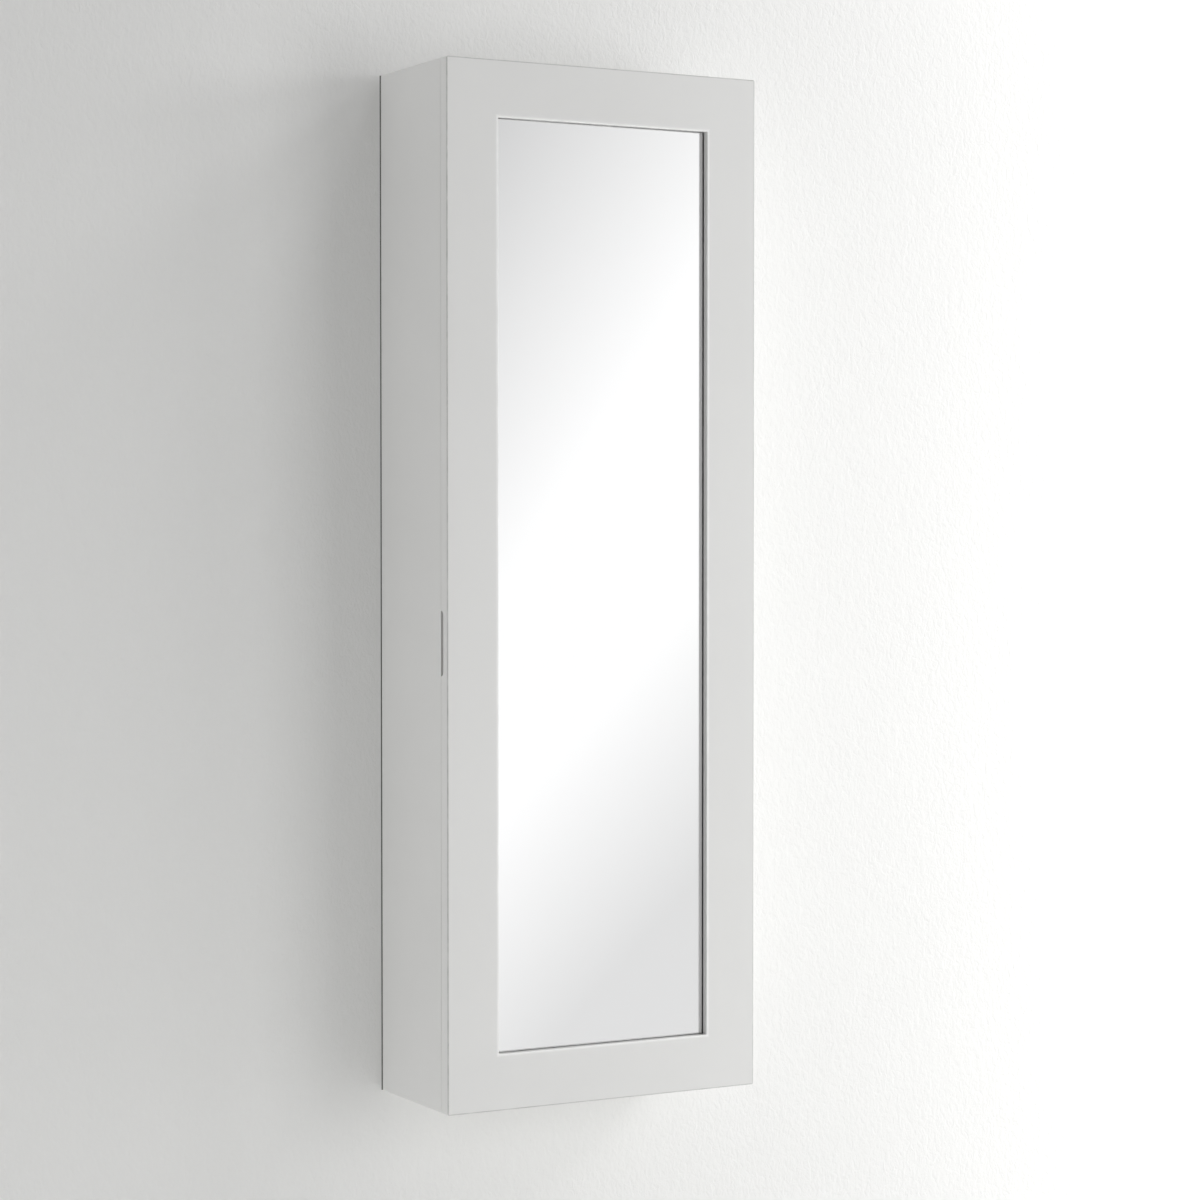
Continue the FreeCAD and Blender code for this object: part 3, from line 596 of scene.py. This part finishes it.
def plated(name, metal, polish, scratched):
    made, tree, shader, where = material(name)
    skin = add(tree, "ShaderNodeGroup", {"Vector": where}, node_tree=scuff)
    skin.inputs["Metal"].default_value = (*metal, 1)
    skin.inputs["Polish"].default_value = polish
    skin.inputs["Scratched"].default_value = scratched
    feed(tree, shader, skin.outputs["Colour"], skin.outputs["Roughness"], skin.outputs["Height"],
         0.004 * MM)
    shader.inputs["Metallic"].default_value = 1.0
    return made


def machined(name, node, body, finish, ease=0.0, segments=2):
    """A merged copy of a CAD node with its hard edges eased, standing for that node."""
    mesh = nodes[node].data.copy()
    mesh.name = name
    shape = bmesh.new()
    shape.from_mesh(mesh)
    bmesh.ops.remove_doubles(shape, verts=shape.verts, dist=1e-6)
    bmesh.ops.dissolve_limit(shape, angle_limit=math.radians(0.5), verts=shape.verts,
                             edges=shape.edges)
    shape.to_mesh(mesh)
    shape.free()
    mesh.shade_smooth()
    mesh.set_sharp_from_angle(angle=math.radians(35))
    maker = bpy.data.objects.new(name + "_blank", mesh)
    bpy.context.scene.collection.objects.link(maker)
    if ease:
        edge = maker.modifiers.new("eased edges", "BEVEL")
        edge.width = ease
        edge.segments = segments
        edge.limit_method = "ANGLE"
        edge.angle_limit = math.radians(40)
        edge.use_clamp_overlap = True
        edge.harden_normals = True
    flat = maker.modifiers.new("flat faces stay flat", "WEIGHTED_NORMAL")
    flat.weight = 100
    flat.keep_sharp = True
    return plain_piece(maker, name, body, finish, [node], None)


nickel = plated("nickel-plated steel", (0.66, 0.65, 0.62), 0.18, 0.38)
for level in ("upper", "middle", "lower"):
    hinge = "hinge_" + level
    for side in ("case", "door"):
        machined(f"{hinge}_{side}_flap", f"{hinge}_{side}_leaf", side, nickel,
                 0.12 * MM, 1)
    machined(hinge + "_rivet_pin", hinge + "_pin", "case", nickel)


# ---------------------------------------------------------------------------------------------
# Magnetic catches
# Each is a white moulded body screwed to the left side, with a ferrite magnet between two steel
# pole plates. A zinc-plated strike plate on the door lies a hair before them when it is shut.

moulded, shader = sprayed("moulded white plastic", (0.78, 0.78, 0.75), 1400.0, 0.02, (0.42, 0.55),
                          0.02 * MM)
zinc = plated("zinc-plated steel", (0.60, 0.61, 0.62), 0.26, 0.5)

poles, tree, shader, where = material("magnet and pole plates")
low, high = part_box("catch_upper_magnet")
axes = add(tree, "ShaderNodeSeparateXYZ", {"Vector": where}).outputs
off_middle = calc(tree, "ABSOLUTE", calc(tree, "SUBTRACT", axes["X"], (low.x + high.x) / 2))
half_ferrite = 1.6 * MM
steel = calc(tree, "GREATER_THAN", off_middle, half_ferrite)
crumb = noise(tree, where, 900.0, 4.0, 0.7)
ferrite = tinted(tree, crumb, (0.03, 0.03, 0.032), (0.07, 0.07, 0.075))
feed(tree, shader, tinted(tree, steel, ferrite, (0.58, 0.59, 0.60)),
     calc(tree, "SUBTRACT", 0.75, calc(tree, "MULTIPLY", steel, 0.42)), crumb, 0.03 * MM)
tree.links.new(steel, shader.inputs["Metallic"])
dress(poles, "catch_steel", "catch_upper_magnet", "catch_lower_magnet")
for level in ("upper", "lower"):
    catch = "catch_" + level
    machined(catch + "_body", catch + "_housing", "case", moulded, 0.3 * MM)
    machined(catch + "_strike", "strike_plate_" + level, "door", zinc, 0.15 * MM, 1)


# ---------------------------------------------------------------------------------------------
# Shelves, their pins and the guard rods
# Lacquered boards lie loose on chromed steel pins in the sides. A thin chromed rod, let into
# both sides, runs before the bottom and the lowest shelf to keep bottles from tipping out.

chrome = plated("polished chrome", (0.78, 0.79, 0.80), 0.04, 0.14)
for number in (1, 2, 3):
    shelf = "shelf_" + str(number)
    machined(shelf + "_board", shelf, "case", lacquer, 0.3 * MM)
for number in (1, 2):
    guard = "guard_rod_" + str(number)
    turned_bars(guard + "_bar", guard, "case", chrome, {"Chamfer": 0.6 * MM})
turned_bars("shelf_pins_turned", "shelf_pins", "case", chrome,
            {"Chamfer": 0.5 * MM})


# ---------------------------------------------------------------------------------------------
# Peg rail
# A lacquered rail, screwed through the back into the upper wall rail, carries a row of chromed
# turned pegs: collar, slim neck and a bud that keeps chains from slipping off.

machined("peg_rail_board", "peg_rail", "case", lacquer)

peg, peg_in, peg_out = repeats("turned peg", {
    "Collar Radius": ("Float", 0.005), "Collar": ("Float", 0.002), "Neck Radius": ("Float", 0.0022),
    "Length": ("Float", 0.0265), "Bud Radius": ("Float", 0.0045), "Bud": ("Float", 0.008)})
reach = add(peg, "ShaderNodeCombineXYZ", {"Z": peg_in["Length"]})
core = add(peg, "GeometryNodeCurvePrimitiveLine", {"End": reach.outputs[0]})
core = add(peg, "GeometryNodeResampleCurve", {"Curve": core.outputs[0], "Count": 96})
up = add(peg, "GeometryNodeSplineParameter").outputs["Length"]
over_collar = sums(peg, "MINIMUM", sums(peg, "DIVIDE", up, peg_in["Collar"]), 1.0)
shoulder = sums(peg, "SQRT", sums(peg, "SUBTRACT", 1.0, sums(peg, "POWER", over_collar, 3.0)))
collar_line = sums(peg, "MULTIPLY", peg_in["Collar Radius"], shoulder)
half_bud = sums(peg, "MULTIPLY", peg_in["Bud"], 0.52)
bud_middle = sums(peg, "SUBTRACT", peg_in["Length"], sums(peg, "MULTIPLY", peg_in["Bud"], 0.5))
off_middle = sums(peg, "DIVIDE", sums(peg, "SUBTRACT", up, bud_middle), half_bud)
round_off = sums(peg, "SUBTRACT", 1.0, sums(peg, "MULTIPLY", off_middle, off_middle))
round_off = sums(peg, "SQRT", sums(peg, "MAXIMUM", round_off, 0.0))
bud_line = sums(peg, "MULTIPLY", peg_in["Bud Radius"], round_off)
neck_line = sums(peg, "MULTIPLY", peg_in["Neck Radius"], sums(peg, "LESS_THAN", up, bud_middle))
outline = sums(peg, "SMOOTH_MAX", sums(peg, "MAXIMUM", collar_line, neck_line), bud_line, 0.0006)
hoop = add(peg, "GeometryNodeCurvePrimitiveCircle", {"Resolution": 40, "Radius": 1.0})
turned_peg = add(peg, "GeometryNodeCurveToMesh", {
    "Curve": core.outputs[0], "Profile Curve": hoop.outputs[0], "Scale": outline, "Fill Caps": True})
set_out(peg, peg_in, peg_out, turned_peg.outputs[0])

rail_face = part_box("peg_rail")[0].y
boxes = solids("necklace_pegs")
peg_places = [(Vector(((low.x + high.x) / 2, rail_face, (low.z + high.z) / 2)), Vector((0, -1, 0)))
              for low, high in boxes]
low, high = boxes[0]
place_repeats("necklace_pegs_turned", peg, peg_places, "case", chrome,
              ["necklace_pegs"],
              {"Collar Radius": (high.z - low.z) / 2, "Length": rail_face - low.y})


# ---------------------------------------------------------------------------------------------
# Ring tray
# A lacquered tray stands on the middle shelf. Rolls of foam in grey velvet lie in it side by
# side, pressed flat beneath and drawn in at their ends, and rings stand in the slots between.

machined("ring_tray_box", "ring_tray", "case", lacquer, 0.3 * MM)
roll_velvet = velvety("velvet over foam", (0.17, 0.165, 0.16), (0.31, 0.30, 0.295), 30.0, 0.6, 0.2 * MM)


def roll_blank(shape, low, high, slack):
    """Adds one roll to a bmesh: a soft bar, flat beneath, with its two ends drawn in."""
    draw = random.Random(round(low.y * 1e5))
    radius = (high.y - low.y) / 2 - slack
    middle = (low + high) / 2
    middle.z = high.z - (high.y - low.y) / 2
    half = (high.x - low.x) / 2 - slack
    rings, around = 150, 28
    rows = []
    for n in range(rings + 1):
        t = 2 * n / rings - 1
        drawn = min(1.0, (1 - abs(t)) * half / (0.7 * radius))
        r = radius * (0.18 + 0.82 * math.sqrt(1 - (1 - drawn) ** 2)) * (1 - 0.012 * draw.random())
        row = []
        for k in range(around):
            a = math.tau * k / around
            y, z = r * math.cos(a), r * math.sin(a)
            z = max(z, low.z + slack - middle.z)
            row.append(shape.verts.new(middle + Vector((t * half, y, z))))
        rows.append(row)
    for one, two in zip(rows, rows[1:]):
        for k in range(around):
            shape.faces.new((one[k], one[(k + 1) % around], two[(k + 1) % around], two[k]))
    shape.faces.new(rows[0][::-1])
    shape.faces.new(rows[-1])


def filled_rolls():
    """The rolls, blown up a little by Cloth so that the velvet pulls smooth over the foam."""
    shape = bmesh.new()
    for low, high in solids("ring_rolls"):
        roll_blank(shape, low, high, 0.7 * MM)
    bmesh.ops.recalc_face_normals(shape, faces=shape.faces)
    mesh = bpy.data.meshes.new("rolls")
    shape.to_mesh(mesh)
    shape.free()
    maker = bpy.data.objects.new("rolls", mesh)
    bpy.context.scene.collection.objects.link(maker)
    remesh = maker.modifiers.new("even mesh", "REMESH")
    remesh.mode = "VOXEL"
    remesh.voxel_size = 3.2 * MM
    cloth = maker.modifiers.new("velvet", "CLOTH")
    cloth.settings.effector_weights.gravity = 0.0
    cloth.settings.use_pressure = True
    cloth.settings.uniform_pressure_force = 4.0
    cloth.settings.quality = 5
    cloth.settings.mass = 0.2
    cloth.settings.tension_stiffness = cloth.settings.compression_stiffness = 12.0
    for frame_number in range(1, 19):
        bpy.context.scene.frame_set(frame_number)
    graph = bpy.context.evaluated_depsgraph_get()
    blown = bpy.data.meshes.new_from_object(maker.evaluated_get(graph), depsgraph=graph)
    maker.modifiers.clear()
    bpy.data.objects.remove(maker)
    bpy.context.scene.frame_set(1)
    return blown


blown = filled_rolls()
beds = solids("ring_rolls")
for vert in blown.vertices:
    low, high = min(beds, key=lambda bed: abs((bed[0].y + bed[1].y) / 2 - vert.co.y))
    middle_y, radius = (low.y + high.y) / 2, (high.y - low.y) / 2
    middle_z = high.z - radius
    out = Vector((0, vert.co.y - middle_y, vert.co.z - middle_z))
    if out.length > radius:
        vert.co += out.normalized() * (radius - out.length)
    vert.co.x = min(max(vert.co.x, low.x), high.x)
    vert.co.z = max(vert.co.z, low.z)
rolls = bpy.data.objects.new("ring_rolls_stuffed", blown)
bpy.context.scene.collection.objects.link(rolls)
smooth = rolls.modifiers.new("soft", "SUBSURF")
smooth.levels = smooth.render_levels = 1
rolls = plain_piece(rolls, "ring_rolls_velvet", "case", roll_velvet, ["ring_rolls"], 80)


# ---------------------------------------------------------------------------------------------
# Bracelet rod
# A chromed rod lies loose in two cups, cast and chromed like it, that are screwed to the sides.
# Their slots are open at the top, so that the rod lifts out for a bracelet to go on.

turned_bars("bracelet_rod_bar", "bracelet_rod", "case", chrome,
            {"Chamfer": 1.0 * MM})
for side in ("left", "right"):
    cup = "rod_cup_" + side
    machined(cup + "_moulding", cup, "case", chrome, 0.3 * MM)


# ---------------------------------------------------------------------------------------------
# Earring bars
# Four moulded angles across the back of the door, screwed to the stiles. The ledge of each is
# notched along its inner edge, so that hooks and posts hang in the notches.

for number in (1, 2, 3, 4):
    bar_name = "earring_bar_" + str(number)
    machined(bar_name + "_moulding", bar_name, "door", moulded, 0.3 * MM)


# ---------------------------------------------------------------------------------------------
# Screws
# Countersunk chipboard screws of zinc-plated steel, with a cross recess, a short plain neck and
# a coarse thread that runs out to the tip. Each was driven by hand, so no two crosses line up.

bright_zinc = plated("bright zinc plate", (0.68, 0.69, 0.70), 0.16, 0.36)
screw, screw_in, screw_out = repeats("countersunk screw", {
    "Head Radius": ("Float", 0.0027), "Shank Radius": ("Float", 0.0015), "Length": ("Float", 0.016),
    "Pitch": ("Float", 0.0013), "Plain Neck": ("Float", 0.0035), "Tip": ("Float", 0.003),
    "Rings": ("Int", 96)})
reach = add(screw, "ShaderNodeCombineXYZ", {"Z": screw_in["Length"]})
core = add(screw, "GeometryNodeCurvePrimitiveLine", {"End": reach.outputs[0]})
core = add(screw, "GeometryNodeResampleCurve", {"Curve": core.outputs[0], "Count": screw_in["Rings"]})
down = add(screw, "GeometryNodeSplineParameter").outputs["Length"]
cone = sums(screw, "SUBTRACT", screw_in["Head Radius"], down)
runs_out = sums(screw, "DIVIDE", sums(screw, "SUBTRACT", screw_in["Length"], down), screw_in["Tip"])
runs_out = sums(screw, "MAXIMUM", sums(screw, "MINIMUM", runs_out, 1.0), 0.12)
point = sums(screw, "MULTIPLY", screw_in["Shank Radius"], runs_out)
hoop = add(screw, "GeometryNodeCurvePrimitiveCircle", {"Resolution": 24, "Radius": 1.0})
blank = add(screw, "GeometryNodeCurveToMesh", {
    "Curve": core.outputs[0], "Profile Curve": hoop.outputs[0],
    "Scale": sums(screw, "MAXIMUM", cone, point), "Fill Caps": True})
skin_at = add(screw, "GeometryNodeInputPosition").outputs[0]
spot = add(screw, "ShaderNodeSeparateXYZ", {"Vector": skin_at}).outputs
turns = sums(screw, "DIVIDE", sums(screw, "ARCTAN2", spot["Y"], spot["X"]), math.tau)
climb = sums(screw, "DIVIDE", spot["Z"], screw_in["Pitch"])
phase = sums(screw, "FRACT", sums(screw, "SUBTRACT", climb, turns))
off_crest = sums(screw, "ABSOLUTE", sums(screw, "SUBTRACT", phase, 0.5))
off_crest = sums(screw, "MULTIPLY", off_crest, 2.0)
groove = sums(screw, "MULTIPLY", sums(screw, "SUBTRACT", 1.0, off_crest), 0.5)
threaded = sums(screw, "GREATER_THAN", spot["Z"], screw_in["Plain Neck"])
groove = sums(screw, "MULTIPLY", sums(screw, "MULTIPLY", groove, threaded), 0.7)
shrink = sums(screw, "SUBTRACT", 1.0, groove)
cut_at = add(screw, "ShaderNodeCombineXYZ", {
    "X": sums(screw, "MULTIPLY", spot["X"], shrink),
    "Y": sums(screw, "MULTIPLY", spot["Y"], shrink), "Z": spot["Z"]})
thread = add(screw, "GeometryNodeSetPosition", {
    "Geometry": blank.outputs[0], "Position": cut_at.outputs[0]})
bit_length = sums(screw, "MULTIPLY", screw_in["Head Radius"], 0.62)
bit_end = add(screw, "ShaderNodeCombineXYZ", {"Z": bit_length})
bit = add(screw, "GeometryNodeCurvePrimitiveLine", {
    "Start": (0, 0, -0.2 * MM), "End": bit_end.outputs[0]})
bit_down = add(screw, "GeometryNodeSplineParameter").outputs["Factor"]
bit_taper = sums(screw, "SUBTRACT", 1.0, sums(screw, "MULTIPLY", bit_down, 0.6))
bit_wide = sums(screw, "MULTIPLY", screw_in["Head Radius"], 0.66)
cross = add(screw, "GeometryNodeCurveStar", {"Points": 4, "Inner Radius": 0.24, "Outer Radius": 1.0})
bit = add(screw, "GeometryNodeCurveToMesh", {
    "Curve": bit.outputs[0], "Profile Curve": cross.outputs["Curve"],
    "Scale": sums(screw, "MULTIPLY", bit_taper, bit_wide), "Fill Caps": True})
driven = add(screw, "GeometryNodeMeshBoolean", {
    "Mesh 1": thread.outputs[0], "Mesh 2": bit.outputs[0]}, operation="DIFFERENCE")
set_out(screw, screw_in, screw_out, driven.outputs["Mesh"])


def screws(node, body, head, shank, pitch):
    """Stands a threaded screw in the place of each of a node's solids."""
    places = []
    for low, high in solids(node):
        size = high - low
        axis = max(range(3), key=lambda n: size[n])
        start = (low + high) / 2
        if axis == 0:           # into the side that is nearer
            way = 1 if start.x > 0 else -1
        else:                   # into the back of the case, or into the door from behind
            way = 1 if body == "case" else -1
        along = Vector((0, 0, 0))
        along[axis] = way
        start[axis] = low[axis] if way > 0 else high[axis]
        places.append((start, along))
    long = size[axis]
    place_repeats(node + "_driven", screw, places, body, bright_zinc, [node],
                  {"Head Radius": head, "Shank Radius": shank, "Length": long, "Pitch": pitch,
                   "Plain Neck": head + 0.6 * MM, "Rings": round(long / pitch * 7)},
                  seed=len(node))


SMALL = (2.4 * MM, 1.25 * MM, 1.1 * MM)         # radius of the head and of the shank, and pitch
MIDDLING = (2.7 * MM, 1.5 * MM, 1.3 * MM)
LARGE = (3.4 * MM, 1.75 * MM, 1.7 * MM)
screws("hinge_case_screws", "case", *MIDDLING)
screws("hinge_door_screws", "door", *MIDDLING)
screws("backing_screws", "door", *SMALL)
screws("earring_bar_screws", "door", *MIDDLING)
screws("strike_screws", "door", *SMALL)
screws("catch_screws", "case", *MIDDLING)
screws("rod_cup_screws", "case", *MIDDLING)
screws("peg_rail_screws", "case", *LARGE)


# ---------------------------------------------------------------------------------------------
# Studio
# The cabinet hangs on a pale, rolled wall over a pale floor. Lamps to the right, above and on the
# left are softened by a white room. From behind, the wall is open, so that the back can be seen.

WALL_GAP = 3.5 * MM             # from the cabinet's back edges to the wall
FLOOR_Z = -1.35
WALL = 6.0                      # how far wall and floor reach


def seen_from_front(tree, shader):
    """Makes a wall clear from behind."""
    back_side = add(tree, "ShaderNodeNewGeometry").outputs["Backfacing"]
    clear = add(tree, "ShaderNodeBsdfTransparent").outputs[0]
    mixed = add(tree, "ShaderNodeMixShader", {0: back_side, 1: shader.outputs[0], 2: clear})
    tree.links.new(mixed.outputs[0], tree.nodes["Material Output"].inputs["Surface"])


def stage_piece(name, verts, faces, made):
    mesh = bpy.data.meshes.new(name)
    mesh.from_pydata(verts, [], faces)
    mesh.materials.append(made)
    obj = bpy.data.objects.new(name, mesh)
    bpy.context.scene.collection.objects.link(obj)
    return obj


plaster, tree, shader, where = material("wall plaster")
rolled = add(tree, "ShaderNodeMapping", {"Vector": where, "Scale": (1.0, 1.0, 0.65)})
stipple = add(tree, "ShaderNodeTexNoise", {
    "Vector": rolled.outputs["Vector"], "Scale": 170.0, "Detail": 4.0, "Roughness": 0.6,
    "Distortion": 0.6}).outputs["Fac"]
feed(tree, shader, rough=spread(tree, stipple, 0.75, 0.9), height=stipple, deep=0.85 * MM)
shader.inputs["Base Color"].default_value = (0.86, 0.86, 0.85, 1)
seen_from_front(tree, shader)

floor_made, tree, shader, where = material("studio floor")
feed(tree, shader, tinted(tree, noise(tree, where, 2.0, 3.0), (0.78, 0.78, 0.77), (0.82, 0.82, 0.81)))
shader.inputs["Roughness"].default_value = 0.8

# The strip of wall right behind the cabinet: a dark sheet of painted shade that stands for the shadow in
# the gap behind the cabinet, and open to the light that falls on the back.
shade_strip_paint, tree, shader, where = material("painted shade behind the cabinet")
feed(tree, shader, tinted(tree, noise(tree, where, 40.0), (0.08, 0.08, 0.08), (0.12, 0.12, 0.12)))
seen_from_front(tree, shader)

low, high = cad_box
xs = (-WALL, low.x, high.x, WALL)
zs = (FLOOR_Z, low.z, high.z, WALL)
wall = stage_piece("wall", [(x, WALL_GAP, z) for z in zs for x in xs],
                   [(r * 4 + c, r * 4 + c + 1, r * 4 + c + 5, r * 4 + c + 4)
                    for r in range(3) for c in range(3) if (r, c) != (1, 1)], plaster)
floor = stage_piece("floor", [(-WALL, -4.0, FLOOR_Z), (WALL, -4.0, FLOOR_Z), (WALL, WALL, FLOOR_Z),
                              (-WALL, WALL, FLOOR_Z)], [(0, 1, 2, 3)], floor_made)
behind = stage_piece("painted_shade_strip", [(x, WALL_GAP, z) for z in zs[1:3] for x in xs[1:3]],
                     [(0, 1, 3, 2)], shade_strip_paint)
behind.visible_shadow = behind.visible_diffuse = False

for name, at, towards, wide, tall, watts in (
        ("key", (1.75, -1.3, 0.8), (0.0, 0.0, 0.0), 0.8, 0.5, 8.4),
        ("over the corner", (1.5, -0.45, 1.7), (0.0, 0.0, 0.6), 0.5, 0.5, 10.7),
        ("over the top", (0.6, -0.6, 2.2), (0.1, 0.0, 0.6), 0.8, 0.4, 5.7),
        ("along the wall", (1.8, -0.45, -0.3), (0.8, 0.0, -0.3), 0.4, 1.6, 15.5),
        ("front right", (1.2, -2.6, 0.0), (0.0, 0.0, 0.0), 1.2, 1.2, 13.4),
        ("from the floor", (0.4, -1.5, -1.3), (0.3, 0.0, -0.3), 2.0, 1.2, 8.0),
        ("left strip", (-2.6, -0.5, 0.0), (0.0, 0.0, -0.1), 0.6, 1.6, 8.5),
        ("low left", (-3.0, -0.9, -0.8), (0.0, 0.0, -0.1), 1.0, 1.0, 6.4),
        ("rear", (0.0, 1.8, 0.3), (0.0, 0.0, 0.0), 0.3, 1.0, 10.0)):
    light = bpy.data.lights.new(name, "AREA")
    light.shape = "RECTANGLE"
    light.size, light.size_y = wide, tall
    light.energy = watts
    lamp = bpy.data.objects.new(name, light)
    lamp.location = at
    lamp.rotation_euler = (Vector(towards) - Vector(at)).to_track_quat("-Z", "Y").to_euler()
    lamp.visible_camera = lamp.visible_glossy = lamp.visible_transmission = False
    bpy.context.scene.collection.objects.link(lamp)

ROOM = 0.30                     # how strongly the white room lights the cabinet
world = bpy.data.worlds.new("studio")
bpy.context.scene.world = world
world.use_nodes = True
tree = world.node_tree
tree.nodes.clear()
path = add(tree, "ShaderNodeLightPath").outputs
shiny = calc(tree, "MAXIMUM", path["Is Glossy Ray"], path["Is Transmission Ray"])
seen = calc(tree, "MAXIMUM", path["Is Camera Ray"], shiny)
direction = add(tree, "ShaderNodeTexCoord").outputs["Generated"]


def across(normal, dark, bright, at):
    """How bright a reflection is, from one plane through the room to another."""
    side = add(tree, "ShaderNodeVectorMath", {0: direction, 1: normal}, operation="DOT_PRODUCT")
    return spread(tree, side.outputs["Value"], dark, bright, at)


upper = across((-0.7513, -0.4113, 0.516), 1.05, 0.46, (0.0148, 0.137))
lower = across((-0.6543, -0.3582, 0.666), 0.78, 1.05, (-0.103, -0.044))
reflected = calc(tree, "MINIMUM", upper, lower)
shown = add(tree, "ShaderNodeMix", {"Factor": path["Is Camera Ray"], "A": reflected, "B": 1.0})
shown = add(tree, "ShaderNodeBackground", {"Color": (1, 1, 1, 1), "Strength": shown.outputs[0]})
plain = add(tree, "ShaderNodeBackground", {"Color": (1, 1, 1, 1), "Strength": ROOM})
both = add(tree, "ShaderNodeMixShader", {0: seen, 1: plain.outputs[0], 2: shown.outputs[0]})
tree.links.new(both.outputs[0], add(tree, "ShaderNodeOutputWorld").inputs["Surface"])


# ---------------------------------------------------------------------------------------------
# Camera
# It stands to the left, 3.6 m off, at the cabinet's middle height, and looks slightly down.

camera_data = bpy.data.cameras.new("camera")
camera_data.sensor_width = 36.0
camera_data.lens = 91.6
camera = bpy.data.objects.new("camera", camera_data)
camera.location = (-1.684, -3.232, 0.081)
YAW, PITCH = math.radians(28.75), math.radians(-1.586)
aim = Vector((math.sin(YAW) * math.cos(PITCH), math.cos(YAW) * math.cos(PITCH), math.sin(PITCH)))
camera.rotation_euler = aim.to_track_quat("-Z", "Y").to_euler()
bpy.context.scene.collection.objects.link(camera)
bpy.context.scene.camera = camera
bpy.context.scene.view_settings.view_transform = "Standard"
